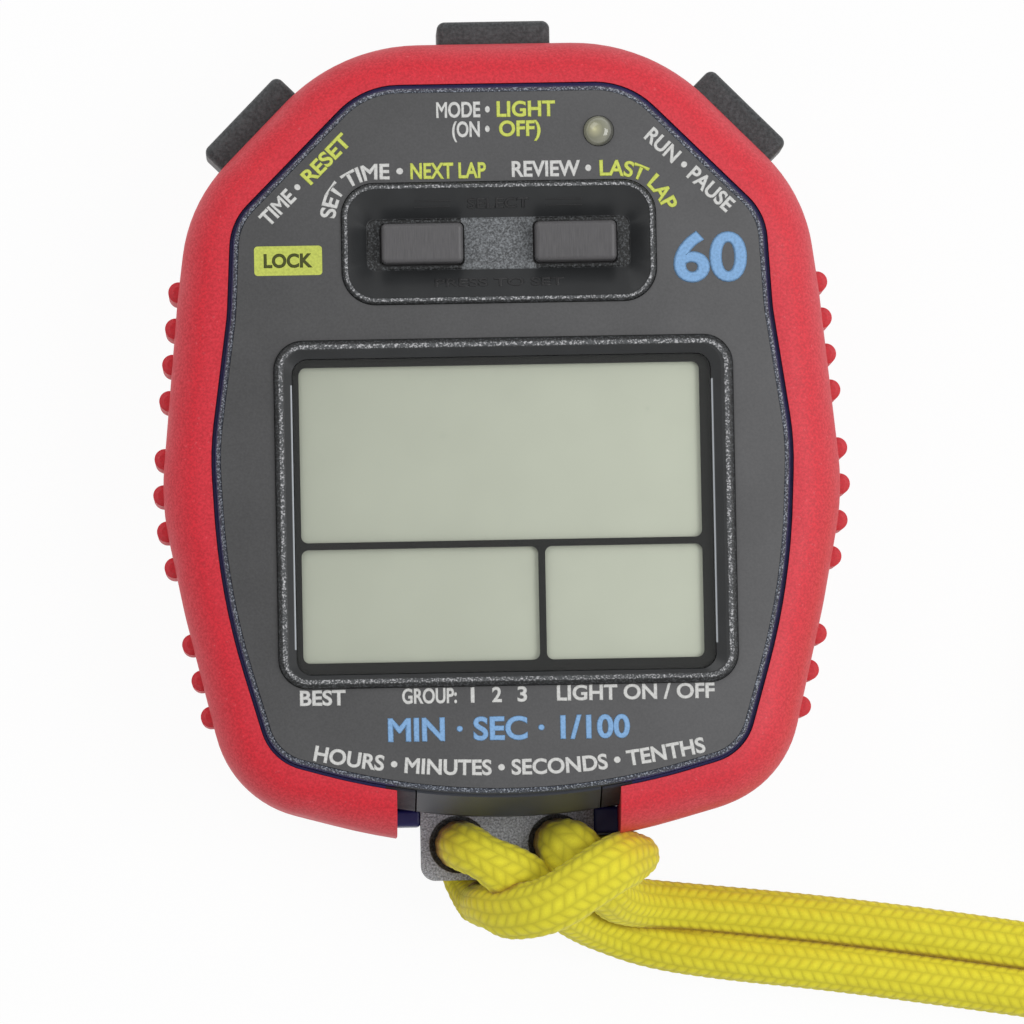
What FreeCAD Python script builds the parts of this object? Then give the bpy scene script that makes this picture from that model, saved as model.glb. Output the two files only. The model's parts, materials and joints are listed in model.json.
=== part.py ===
import FreeCAD, Part
import math
import os
import Sketcher
from types import SimpleNamespace
from FreeCAD import Placement, Rotation, Vector

# A hand-held digital stopwatch. It lies on its back: +Z is out of its face, +Y is its top.
# The back is at z = 0, and X = Y = 0 is moved at the end to the middle of the watch's own box.

doc = FreeCAD.newDocument("stopwatch")
sheet = doc.addObject("Spreadsheet::Sheet", "sizes")

# Driving dimensions, in millimetres. Each name is a cell of the sheet.
SIZES = {
    # whole case
    "case_width": 68.1,            # over the rubber at its widest
    "case_length": 80.7,           # over the rubber, without buttons and lug
    "bumper_wall": 2.9,            # rubber thickness on the flanks
    "bumper_back": 2.4,            # height of the rubber's back edge
    "bumper_front": 20.9,          # height of the rubber's front edge
    "bumper_front_round": 5.0,
    "bumper_back_round": 3.4,
    "bumper_gap": 22.4,            # open width at the lug
    "rubber_fit": 0.06,
    # nubs along both flanks
    "nub_radius": 1.05,
    "nub_length": 8.0,
    "nub_height": 11.4,            # middle of the nubs above the back
    "nub_pitch": 3.65,
    # rear housing
    "floor": 1.8,
    "back_round": 2.6,
    "flank_top": 15.5,             # where the wall starts to lean in
    "rim_top": 20.4,
    "rim_line": 0.25,              # width of the rear housing's edge seen from the front
    "shelf_height": 13.0,
    "shelf_width": 2.1,
    # front housing
    "front_fit": 0.05,
    "skirt_wall": 1.8,
    "gasket_thickness": 0.8,
    "plate_back": 19.6,
    "plate_front": 21.2,
    "bezel_top": 21.5,
    "bezel_chamfer": 0.4,
    "bezel_width": 0.55,
    # faceplate
    "faceplate_thickness": 0.5,
    "faceplate_fit": 0.05,
    # display
    "lip_width": 45.9,
    "lip_length": 34.8,
    "lip_x": 0.2,                  # middle of the raised lip
    "lip_y": -8.7,
    "lip_round": 3.0,
    "lip_top": 22.3,
    "lip_edge": 0.5,
    "lip_slope": 0.9,
    "window_width": 41.8,
    "window_length": 31.5,
    "window_y": -8.95,
    "window_round": 1.6,
    "window_thickness": 1.0,
    "window_fit": 0.08,
    "window_seat": 20.55,
    "window_ledge": 0.6,           # what the window rests on all round
    "mask_thickness": 0.2,
    "cell_divider": 0.7,
    "cell_round": 0.7,
    "cell_left_margin": 0.6,
    "cell_right_margin": 1.1,
    "cell_upper_margin": 0.75,
    "cell_lower_margin": 1.15,
    "upper_cell_length": 17.55,
    "left_cell_width": 23.65,
    "glass_width": 41.4,
    "glass_length": 32.8,
    "glass_fit": 0.1,
    "glass_back": 18.3,
    "glass_front": 20.2,
    "connector_width": 1.2,
    "backlight_back": 17.5,
    # key panel
    "panel_width": 31.5,
    "panel_length": 12.2,
    "panel_y": 18.3,
    "panel_round": 3.4,
    "panel_lip": 0.6,
    "panel_lip_top": 22.1,
    "panel_edge": 0.35,
    "panel_floor": 20.4,
    "panel_floor_width": 26.2,
    "panel_floor_length": 4.9,
    "panel_floor_round": 0.7,
    "key_width": 8.15,
    "key_length": 4.0,
    "key_round": 0.5,
    "key_spacing": 15.35,
    "key_top": 22.6,
    "key_fit": 0.18,
    "key_flange": 0.7,
    "key_flange_height": 0.7,
    "key_travel": 0.8,
    "dome_radius": 2.4,
    "dome_gap": 0.1,               # left under a pressed key
    # lens of the light sensor
    "lens_radius": 1.5,
    "lens_x": 10.2,
    "lens_y": 29.3,
    "lens_rise": 0.95,
    "lens_fit": 0.05,
    "lens_flange": 0.7,
    "sensor_size": 2.4,
    "sensor_height": 1.4,
    # circuit board
    "board_back": 15.0,
    "board_thickness": 1.0,
    "board_inset": 3.0,
    "board_post_radius": 1.8,
    "chip_size": 9.0,
    "chip_height": 1.3,
    "crystal_radius": 1.0,
    "crystal_length": 6.0,
    "buzzer_radius": 9.0,
    "buzzer_y": 14.0,
    # battery
    "cell_radius": 10.0,
    "cell_thickness": 3.2,
    "cell_y": -17.0,
    "cell_fit": 0.3,
    "cell_lift": 2.7,
    "cell_headroom": 0.9,
    "well_wall": 1.4,
    "well_roof": 1.3,
    "cover_radius": 12.0,
    "cover_fit": 0.12,
    "cover_sink": 0.3,
    "cover_thickness": 1.4,
    "seal_width": 1.1,
    "seal_height": 0.8,
    "coin_slot_radius": 8.0,
    "coin_slot_width": 1.8,
    "coin_slot_depth": 0.9,
    "contact_width": 4.0,
    "contact_thickness": 0.2,
    "contact_reach": 8.0,          # from the cell's middle to the riser
    "side_contact_width": 3.0,
    "contact_room": 0.4,           # clear of a contact on each side
    # push buttons
    "button_height": 11.2,         # axis above the back
    "side_button_share": 0.535,    # how far down the sloping sides the side buttons are
    "cap_height": 7.0,
    "top_cap_width": 11.4,
    "side_cap_width": 10.8,
    "top_cap_rise": 2.5,
    "side_cap_rise": 2.7,
    "cap_round": 0.8,
    "cap_fit": 0.25,
    "button_travel": 1.1,
    "cap_stop": 0.3,               # left between a pressed cap and the rear housing
    "stem_radius": 1.3,
    "stem_fit": 0.05,
    "stem_reach": 1.7,             # past the inner wall
    "clip_radius": 2.3,
    "clip_thickness": 0.4,
    "spring_radius": 2.3,
    "spring_wire": 0.25,
    "spring_turns": 4,
    "spring_pocket": 2.0,
    "ring_section": 0.28,
    "switch_gap": 1.4,             # between a button's stem and its switch at rest
    "switch_width": 6.0,
    "switch_depth": 3.2,
    "plunger_radius": 0.9,
    # screws
    "pillar_radius": 2.4,
    "case_screw_radius": 1.05,
    "case_screw_head": 2.0,
    "case_screw_length": 14.5,
    "case_screw_back": 0.7,        # back of the screw heads
    "case_screw_head_height": 1.35,
    "board_screw_radius": 0.8,
    "board_screw_head": 1.4,
    "board_screw_length": 3.4,
    "screw_fit": 0.06,
    # lug
    "lug_width": 17.5,
    "lug_end": -45.3,              # y of its far edge
    "lug_back": 6.6,
    "lug_front": 10.2,
    "lug_round": 1.5,
    "tongue_back": 5.0,
    "tongue_depth": 2.0,
    "tongue_overhang": 0.45,       # of the tongue past each side of the lug
    "tongue_fit": 0.15,
    "hole_radius": 2.35,
    "hole_spacing": 10.0,
    "hole_y": -41.7,
    "hole_edge": 0.6,
    # lanyard
    "cord_diameter": 4.4,
    "coil_x": 84.3,
    "coil_y": -31.2,
    "coil_middle_radius": 24.0,
}
for row, (name, value) in enumerate(SIZES.items(), start=1):
    sheet.set(f"A{row}", name)
    sheet.set(f"B{row}", str(value))
    sheet.setAlias(f"B{row}", name)
doc.recompute()
s = SimpleNamespace(**{name: float(sheet.get(name)) for name in SIZES})

# The outlines are drawn at this size and stretched to the sheet's overall sizes.
DRAWN_WIDTH = 68.1
DRAWN_LENGTH = 80.7
# Corners of the right half from the top to the chin: x, y and the rounding of the corner.
CASE_CORNERS = [
    (15.6, 38.8, 19.0),
    (31.0, 23.2, 16.0),
    (32.3, 13.5, 30.0),
    (34.3, -7.0, 26.0),
    (32.1, -18.3, 50.0),
    (27.7, -36.7, 11.0),
]
CASE_CHIN = (0.0, -44.3, 65.0)
# The same for the edge of the opening that the face sits in.
RIM_CORNERS = [
    (13.3, 34.3, 8.4),
    (26.8, 20.8, 6.2),
    (27.3, 11.4, 20.0),
    (29.2, -2.1, 30.0),
    (28.5, -16.6, 70.0),
    (23.7, -33.2, 5.4),
]
RIM_CHIN = (0.0, -39.9, 68.0)
# How far the chin moves with the case's length, and the lug with it.
chin_shift = CASE_CHIN[1] * (s.case_length / DRAWN_LENGTH - 1)
lug_end = s.lug_end + chin_shift
hole_y = s.hole_y + chin_shift

pieces = {}
TINY = 1e-6
SIDE_SHARE = 0.98                    # of a side, the most that its two roundings take


# ---------------------------------------------------------------- drawing helpers

def stretched(corners, chin):
    """Both halves of an outline, stretched to the case's overall width and length."""
    wide = s.case_width / DRAWN_WIDTH
    long = s.case_length / DRAWN_LENGTH
    right = [(x * wide, y * long, r) for x, y, r in corners]
    left = [(-x, y, r) for x, y, r in reversed(right)]
    return right + [(chin[0], chin[1] * long, chin[2])] + left


def corner_reaches(corners):
    """How far each rounding reaches along its two sides, limited by the sides' lengths."""
    count = len(corners)
    reaches = []
    for index, (x, y, radius) in enumerate(corners):
        corner = Vector(x, y, 0)
        back = Vector(*corners[index - 1][:2], 0) - corner
        ahead = Vector(*corners[(index + 1) % count][:2], 0) - corner
        reaches.append(radius * math.tan((math.pi - back.getAngle(ahead)) / 2))
    limits = [1.0] * count
    for index in range(count):
        other = (index + 1) % count
        side = math.dist(corners[index][:2], corners[other][:2])
        share = SIDE_SHARE * side / (reaches[index] + reaches[other])
        limits[index] = min(limits[index], share)
        limits[other] = min(limits[other], share)
    return [reach * limit for reach, limit in zip(reaches, limits)]


def rounded_wire(corners):
    """Closed wire of straight lines whose corners are arcs of the given radii."""
    arcs = []
    count = len(corners)
    for index, reach in enumerate(corner_reaches(corners)):
        corner = Vector(*corners[index][:2], 0)
        back = (Vector(*corners[index - 1][:2], 0) - corner).normalize()
        ahead = (Vector(*corners[(index + 1) % count][:2], 0) - corner).normalize()
        half_turn = (math.pi - back.getAngle(ahead)) / 2
        sink = reach / math.sin(half_turn) - reach / math.tan(half_turn)
        middle = corner + (back + ahead).normalize() * sink
        arcs.append((corner + back * reach, middle, corner + ahead * reach))
    edges = []
    for index, (start, middle, end) in enumerate(arcs):
        edges.append(Part.Arc(start, middle, end).toShape())
        edges.append(Part.LineSegment(end, arcs[(index + 1) % count][0]).toShape())
    return Part.Wire(edges)


def at_height(wire, z):
    """The wire moved up to height z."""
    moved = wire.copy()
    moved.translate(Vector(0, 0, z))
    return moved


def case_line(inset=0.0, z=0.0):
    """Outer line of the rubber, moved inwards by inset."""
    wire = rounded_wire(stretched(CASE_CORNERS, CASE_CHIN))
    if abs(inset) > TINY:
        wire = wire.makeOffset2D(-inset)
    return at_height(wire, z)


def rim_line(inset=0.0, z=0.0):
    """Edge of the face opening, moved inwards by inset."""
    wire = rounded_wire(stretched(RIM_CORNERS, RIM_CHIN))
    if abs(inset) > TINY:
        wire = wire.makeOffset2D(-inset)
    return at_height(wire, z)


def rectangle(width, length, radius, z, x=0.0, y=0.0):
    """Rounded rectangle about (x, y) at height z."""
    w = width / 2
    n = length / 2
    corners = [(w, n, radius), (w, -n, radius), (-w, -n, radius), (-w, n, radius)]
    wire = rounded_wire(corners)
    wire.translate(Vector(x, y, z))
    return wire


def prism(name, wires, length):
    """Extrusion upwards of flat wires; length is an expression on the sheet."""
    profile = doc.addObject("Part::Feature", name + "_profile")
    profile.Shape = Part.Compound(wires) if len(wires) > 1 else wires[0]
    solid = doc.addObject("Part::Extrusion", name)
    solid.Base = profile
    solid.DirMode = "Custom"
    solid.Dir = Vector(0, 0, 1)
    solid.FaceMakerClass = "Part::FaceMakerBullseye"
    solid.Solid = True
    solid.setExpression("LengthFwd", length)
    doc.recompute()
    return solid


def cylinder(name, radius, height, at, turn=None):
    """Cylinder along its own +Z, turned and moved; radius and height are expressions."""
    rod = doc.addObject("Part::Cylinder", name)
    rod.setExpression("Radius", radius)
    rod.setExpression("Height", height)
    rod.Placement = Placement(at, turn or Rotation())
    return rod


def box(name, length, width, height, at, turn=None):
    """Block whose corner is at a place; its sides are expressions."""
    block = doc.addObject("Part::Box", name)
    block.setExpression("Length", length)
    block.setExpression("Width", width)
    block.setExpression("Height", height)
    block.Placement = Placement(at, turn or Rotation())
    return block


def fuse(name, parts):
    """One solid of several."""
    whole = doc.addObject("Part::MultiFuse", name)
    whole.Shapes = parts
    whole.Refine = True
    doc.recompute()
    return whole


def cut(name, base, tools):
    """The base without the tools."""
    tool = tools[0] if len(tools) == 1 else fuse(name + "_tools", tools)
    rest = doc.addObject("Part::Cut", name)
    rest.Base = base
    rest.Tool = tool
    rest.Refine = True
    doc.recompute()
    return rest


def common(name, base, tool):
    """What two solids share."""
    shared = doc.addObject("Part::Common", name)
    shared.Base = base
    shared.Tool = tool
    doc.recompute()
    return shared


def edges_where(shape, test):
    """Numbers of the edges that pass a test, as the edge features want them."""
    return [number for number, edge in enumerate(shape.Edges, start=1) if test(edge)]


def flat_at(z):
    """Test for edges that lie level at height z."""
    return lambda edge: abs(edge.BoundBox.ZMin - z) < 1e-4 and abs(edge.BoundBox.ZMax - z) < 1e-4


def rounded(name, base, edges, radius):
    """Fillet on the numbered edges."""
    fillet = doc.addObject("Part::Fillet", name)
    fillet.Base = base
    fillet.Edges = [(number, radius, radius) for number in edges]
    doc.recompute()
    return fillet


def chamfered(name, base, edges, size):
    """Chamfer on the numbered edges."""
    chamfer = doc.addObject("Part::Chamfer", name)
    chamfer.Base = base
    chamfer.Edges = [(number, size, size) for number in edges]
    doc.recompute()
    return chamfer


def feature(name, shape):
    """Shape made with Part's own functions."""
    item = doc.addObject("Part::Feature", name)
    item.Shape = shape
    return item


def revolved(name, profile, at=None, turn=None):
    """Solid of revolution about Z of a closed (radius, z) profile."""
    points = [Vector(r, 0, z) for r, z in profile]
    face = Part.Face(Part.makePolygon(points + points[:1]))
    item = feature(name, face.revolve(Vector(0, 0, 0), Vector(0, 0, 1), 360))
    item.Placement = Placement(at or Vector(0, 0, 0), turn or Rotation())
    return item


def piece(node, item):
    """Registers a finished sub-part under its node's name."""
    item.Label = node
    pieces[node] = item
    return item


def plane_of(body, role):
    """One of a body's own origin planes."""
    return [plane for plane in body.Origin.OriginFeatures if plane.Role == role][0]


def rectangle_sketch(body, name, role, width, height, offset):
    """Centred rectangle sketch on one of the body's planes; sizes are expressions."""
    sketch = body.newObject("Sketcher::SketchObject", name)
    sketch.AttachmentSupport = [(plane_of(body, role), "")]
    sketch.MapMode = "FlatFace"
    sketch.AttachmentOffset = Placement(Vector(0, 0, offset), Rotation())
    w = 2.0
    n = 1.0
    corner = [Vector(-w, -n, 0), Vector(w, -n, 0), Vector(w, n, 0), Vector(-w, n, 0)]
    lines = [Part.LineSegment(corner[i], corner[(i + 1) % 4]) for i in range(4)]
    sketch.addGeometry(lines, False)
    for i in range(4):
        sketch.addConstraint(Sketcher.Constraint("Coincident", i, 2, (i + 1) % 4, 1))
    for i in (0, 2):
        sketch.addConstraint(Sketcher.Constraint("Horizontal", i))
        sketch.addConstraint(Sketcher.Constraint("Vertical", i + 1))
    sketch.addConstraint(Sketcher.Constraint("Symmetric", 0, 1, 1, 2, -1, 1))
    across = sketch.addConstraint(Sketcher.Constraint("DistanceX", 0, 1, 0, 2, 2 * w))
    sketch.renameConstraint(across, "across")
    sketch.setExpression("Constraints.across", width)
    up = sketch.addConstraint(Sketcher.Constraint("DistanceY", 1, 1, 1, 2, 2 * n))
    sketch.renameConstraint(up, "up")
    sketch.setExpression("Constraints.up", height)
    return sketch


def circle_sketch(body, name, role, radius, offset):
    """Circle about the origin on one of the body's planes; its radius is an expression."""
    sketch = body.newObject("Sketcher::SketchObject", name)
    sketch.AttachmentSupport = [(plane_of(body, role), "")]
    sketch.MapMode = "FlatFace"
    sketch.AttachmentOffset = Placement(Vector(0, 0, offset), Rotation())
    sketch.addGeometry(Part.Circle(Vector(0, 0, 0), Vector(0, 0, 1), 1.0), False)
    sketch.addConstraint(Sketcher.Constraint("Coincident", 0, 3, -1, 1))
    size = sketch.addConstraint(Sketcher.Constraint("Radius", 0, 1.0))
    sketch.renameConstraint(size, "radius")
    sketch.setExpression("Constraints.radius", radius)
    return sketch


def pad(body, name, sketch, length):
    """Pad of a sketch, along its normal."""
    grown = body.newObject("PartDesign::Pad", name)
    grown.Profile = sketch
    grown.setExpression("Length", length)
    doc.recompute()
    return grown


def pocket(body, name, sketch, depth, reverse=False):
    """Pocket of a sketch; it must take something away."""
    before = body.Shape.Volume
    taken = body.newObject("PartDesign::Pocket", name)
    taken.Profile = sketch
    taken.setExpression("Length", depth)
    taken.Reversed = reverse
    doc.recompute()
    if body.Shape.Volume > before - TINY:
        raise RuntimeError(name + " cuts nothing")
    return taken


# ---------------------------------------------------------------- places that pieces share

shelf_inset = s.rim_line + s.shelf_width
front_inset = s.rim_line + s.front_fit
skirt_back = s.shelf_height + s.gasket_thickness
seat_inset = front_inset + s.bezel_width
case_box = case_line().BoundBox
chin_y = case_box.YMin + s.bumper_wall
CASE_SCREWS = [(22.5, 14.0), (-22.5, 14.0), (19.5, -29.5), (-19.5, -29.5)]
BOARD_SCREWS = [(23.4, 2.5), (-23.4, 2.5), (22.9, -17.5), (-22.9, -17.5)]


def crossing(wire, start, direction):
    """Distance from start along a direction to a flat wire."""
    ray = Part.LineSegment(start, start + direction * 60).toShape()
    return wire.distToShape(ray)[1][0][0].sub(start).Length


def wall_solid(grow, z_low):
    """Outer form of the housings from z_low to the rim, grown by grow."""
    straight = Part.Face(case_line(s.bumper_wall - grow, z_low)).extrude(Vector(0, 0, s.flank_top - z_low))
    lower = case_line(s.bumper_wall - grow, s.flank_top)
    leaning = Part.makeLoft([lower, rim_line(-grow, s.rim_top)], True, True)
    return straight.fuse(leaning)


def button_places():
    """Name, frame, cap width and rise of each push button; the frame's +Z points outwards."""
    corners = stretched(CASE_CORNERS, CASE_CHIN)
    shoulder = Vector(corners[0][0], corners[0][1], 0)
    hip = Vector(corners[1][0], corners[1][1], 0)
    lean = math.degrees(math.atan2(shoulder.y - hip.y, hip.x - shoulder.x))
    middle = shoulder + (hip - shoulder) * s.side_button_share
    spots = [
        ("top", Vector(0, case_box.YMax, 0), 0.0, "top_cap_width", "top_cap_rise"),
        ("left", Vector(-middle.x, middle.y, 0), lean, "side_cap_width", "side_cap_rise"),
        ("right", middle, -lean, "side_cap_width", "side_cap_rise"),
    ]
    places = []
    for name, spot, angle, width, rise in spots:
        turn = Rotation(Vector(0, 0, 1), angle).multiply(Rotation(Vector(1, 0, 0), -90))
        outward = turn.multVec(Vector(0, 0, 1))
        base = spot - outward * s.bumper_wall
        wall = crossing(rim_line(shelf_inset), base, outward * -1)
        base.z = s.button_height
        places.append(SimpleNamespace(name=name, frame=Placement(base, turn), out=outward,
                                      width=width, rise=rise, wall=wall))
    return places


BUTTONS = button_places()


def in_frame(frame, x, y, z):
    """Placement of a point given in a button's frame, turned as the frame is."""
    return Placement(frame.multVec(Vector(x, y, z)), frame.Rotation)


# ---------------------------------------------------------------- rear housing

def rear_housing():
    """Tub with a shelf for the gasket, a battery well, screw pillars and button guides."""
    outside = feature("rear_outside", wall_solid(0.0, 0.0))
    base_edge = edges_where(outside.Shape, flat_at(0.0))
    body = rounded("rear_rounded", outside, base_edge, s.back_round)
    lower = prism("rear_lower_room", [rim_line(shelf_inset, s.floor)], "sizes.shelf_height - sizes.floor")
    upper = prism("rear_upper_room", [rim_line(s.rim_line, s.shelf_height)], "sizes.rim_top")
    shell = cut("rear_shell", body, [lower, upper])

    middle = Vector(0, s.cell_y, 0)
    well_top = s.cell_lift + s.cell_thickness + s.cell_headroom
    seat = cylinder("well_seat", "sizes.cover_radius + sizes.cover_fit + sizes.well_wall",
                    "sizes.floor + 2", middle)
    tower = cylinder("well_tower", "sizes.cell_radius + sizes.cell_fit + sizes.well_wall",
                     "sizes.well_roof + " + str(well_top), middle)
    pillars = []
    for index, (x, y) in enumerate(CASE_SCREWS):
        pillars.append(cylinder(f"rear_pillar_{index}", "sizes.pillar_radius",
                                "sizes.shelf_height - 0.1", Vector(x, y, 0)))
    inside = prism("rear_inside", [case_line(s.bumper_wall + s.back_round)], "sizes.shelf_height")
    kept = common("rear_supports", fuse("rear_supports_all", [seat, tower] + pillars), inside)
    whole = fuse("rear_whole", [shell, kept])

    tools = [
        cylinder("cover_room", "sizes.cover_radius + sizes.cover_fit", "sizes.floor + 0.75",
                 middle - Vector(0, 0, 0.001)),
        cylinder("cell_room", "sizes.cell_radius + sizes.cell_fit", str(well_top), middle),
        box("upper_contact_slot", "sizes.contact_width + 2 * sizes.contact_room",
            "sizes.contact_thickness + 2 * sizes.contact_room", "20",
            Vector(-s.contact_width / 2 - s.contact_room, s.cell_y + s.contact_reach - s.contact_room,
                   s.cell_lift)),
        box("side_contact_slot", "sizes.contact_thickness + sizes.contact_room",
            "sizes.side_contact_width + 2 * sizes.contact_room", "20",
            Vector(s.cell_radius - 0.1, s.cell_y - s.side_contact_width / 2 - s.contact_room, s.cell_lift)),
    ]
    for index, (x, y) in enumerate(CASE_SCREWS):
        tools.append(cylinder(f"rear_screw_hole_{index}", "sizes.case_screw_radius + sizes.screw_fit",
                              "sizes.shelf_height + 1", Vector(x, y, -0.5)))
        tools.append(cylinder(f"rear_screw_sink_{index}", "sizes.case_screw_head + 0.15", "2.6",
                              Vector(x, y, -0.5)))
    for spot in BUTTONS:
        deep = spot.wall + 2
        tools.append(cylinder(f"{spot.name}_guide", "sizes.stem_radius + sizes.stem_fit", str(deep + 1),
                              in_frame(spot.frame, 0, 0, -deep).Base, spot.frame.Rotation))
        tools.append(cylinder(f"{spot.name}_ring_room", "sizes.stem_radius + 0.65", "2",
                              in_frame(spot.frame, 0, 0, -0.75).Base, spot.frame.Rotation))
    notch = s.lug_width / 2 + s.tongue_overhang + s.tongue_fit
    tools.append(box("notch_low", str(2 * notch), "9", "20",
                     Vector(-notch, chin_y + s.tongue_depth + 0.05 - 9, s.tongue_back - 0.1)))
    tools.append(box("notch_high", str(2 * notch), "9", "20",
                     Vector(-notch, chin_y + s.tongue_depth + 1.1 - 9, skirt_back - 0.1)))
    return piece("rear_housing", cut("rear_housing", whole, tools))


# ---------------------------------------------------------------- front housing

def lug_and_tongue():
    """Cord lug on a tongue that runs down the chin of the case."""
    half = s.lug_width / 2 + s.tongue_overhang
    form = feature("tongue_form", wall_solid(0.0, s.tongue_back))
    low = box("tongue_low", str(2 * half), "9", "20",
              Vector(-half, chin_y + s.tongue_depth - 9, s.tongue_back))
    high = box("tongue_high", str(2 * half), "9", "20",
               Vector(-half, chin_y + s.tongue_depth + 1.0 - 9, skirt_back))
    tongue = common("tongue", form, fuse("tongue_blocks", [low, high]))
    root = chin_y + s.tongue_depth / 2
    plate = doc.addObject("Part::Box", "lug_plate")
    plate.setExpression("Length", "sizes.lug_width")
    plate.Width = root - lug_end
    plate.setExpression("Height", "sizes.lug_front - sizes.lug_back")
    plate.Placement = Placement(Vector(-s.lug_width / 2, lug_end, s.lug_back), Rotation())
    doc.recompute()
    far = lug_end + 0.01
    corner = edges_where(plate.Shape, lambda e: e.BoundBox.YMax < far and e.BoundBox.XLength < 0.01)
    lug = rounded("lug_rounded", plate, corner, s.lug_round)
    holes = []
    for side in (-1, 1):
        holes.append(cylinder(f"lug_hole_{side + 1}", "sizes.hole_radius", "30",
                              Vector(side * s.hole_spacing / 2, hole_y, 0)))
    drilled = cut("lug_drilled", lug, holes)
    around = 2 * math.pi * s.hole_radius
    rims = edges_where(drilled.Shape, lambda e: e.BoundBox.ZLength < 0.01 and abs(e.Length - around) < 0.01)
    return [tongue, chamfered("lug", drilled, rims, s.hole_edge)]


def front_housing():
    """Front plate with a skirt, the raised lips round the display and the keys, and the lug."""
    block = prism("front_block", [rim_line(front_inset, skirt_back)], f"sizes.bezel_top - {skirt_back}")
    edge = edges_where(block.Shape, flat_at(s.bezel_top))
    body = chamfered("front_chamfered", block, edge, s.bezel_chamfer)
    room = prism("front_room", [rim_line(front_inset + s.skirt_wall, skirt_back - 1)],
                 f"sizes.plate_back - {skirt_back - 1}")
    seat = prism("front_seat", [rim_line(seat_inset, s.plate_front)], "3")
    shell = cut("front_shell", body, [room, seat])

    lip = prism("display_lip", [rectangle(s.lip_width, s.lip_length, s.lip_round, s.plate_front, s.lip_x,
                                          s.lip_y)], "sizes.lip_top - sizes.plate_front")
    panel = prism("panel_lip", [rectangle(s.panel_width, s.panel_length, s.panel_round, s.plate_front, 0,
                                          s.panel_y)], "sizes.panel_lip_top - sizes.plate_front")
    lips = []
    for item, top, edge in ((lip, s.lip_top, s.lip_edge), (panel, s.panel_lip_top, s.panel_edge)):
        lips.append(rounded(item.Name + "_soft", item, edges_where(item.Shape, flat_at(top)), edge))
    posts = []
    for index, (x, y) in enumerate(CASE_SCREWS):
        posts.append(cylinder(f"front_pillar_{index}", "sizes.pillar_radius",
                              "sizes.plate_back - sizes.shelf_height", Vector(x, y, s.shelf_height + 0.1)))
    for index, (x, y) in enumerate(BOARD_SCREWS):
        posts.append(cylinder(f"board_post_{index}", "sizes.board_post_radius",
                              "sizes.plate_back - sizes.board_back - sizes.board_thickness + 0.1",
                              Vector(x, y, s.board_back + s.board_thickness)))
    whole = fuse("front_whole", [shell] + lips + posts + lug_and_tongue())

    loose = 2 * s.glass_fit
    glass = prism("glass_room", [rectangle(s.glass_width + loose, s.glass_length + loose, 0.3,
                                           s.plate_back - 1, 0, s.window_y)],
                  "sizes.glass_front + 1.05 - sizes.plate_back")
    ledge = 2 * s.window_ledge
    sight = prism("display_opening", [rectangle(s.window_width - ledge, s.window_length - ledge, 1.0,
                                                s.plate_back, 0, s.window_y)], "4")
    fit = 2 * s.window_fit
    pane = prism("window_room", [rectangle(s.window_width + fit, s.window_length + fit, s.window_round,
                                           s.window_seat, 0, s.window_y)], "4")
    inner = s.window_seat + s.mask_thickness + s.window_thickness
    run = 2 * s.lip_slope
    low = rectangle(s.window_width + fit, s.window_length + fit, s.window_round, inner, 0, s.window_y)
    high = rectangle(s.window_width + fit + run, s.window_length + fit + run, s.window_round + 0.6,
                     s.lip_top + 0.01, s.lip_x / 2, s.window_y)
    slope = feature("lip_slope", Part.makeLoft([low, high], True, True))
    low = rectangle(s.panel_floor_width, s.panel_floor_length, s.panel_floor_round, s.panel_floor, 0,
                    s.panel_y)
    high = rectangle(s.panel_width - 2 * s.panel_lip, s.panel_length - 2 * s.panel_lip,
                     s.panel_round - s.panel_lip, s.panel_lip_top + 0.01, 0, s.panel_y)
    trough = feature("panel_trough", Part.makeLoft([low, high], True, True))
    tools = [glass, sight, pane, slope, trough]
    for side in (-1, 1):
        middle = side * s.key_spacing / 2
        tools.append(prism(f"key_opening_{side + 1}",
                           [rectangle(s.key_width + 2 * s.key_fit, s.key_length + 2 * s.key_fit, s.key_round,
                                      s.plate_back - 1, middle, s.panel_y)], "5"))
    tools.append(cylinder("lens_hole", "sizes.lens_radius + sizes.lens_fit", "6",
                          Vector(s.lens_x, s.lens_y, s.plate_back - 1)))
    for index, (x, y) in enumerate(CASE_SCREWS):
        tools.append(cylinder(f"front_screw_hole_{index}", "sizes.case_screw_radius + sizes.screw_fit",
                              "4.5", Vector(x, y, s.shelf_height)))
    for index, (x, y) in enumerate(BOARD_SCREWS):
        tools.append(cylinder(f"post_screw_hole_{index}", "sizes.board_screw_radius + sizes.screw_fit",
                              "2.9", Vector(x, y, s.board_back + s.board_thickness - 0.1)))
    return piece("front_housing", cut("front_housing", whole, tools))


# ---------------------------------------------------------------- face and display

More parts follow.
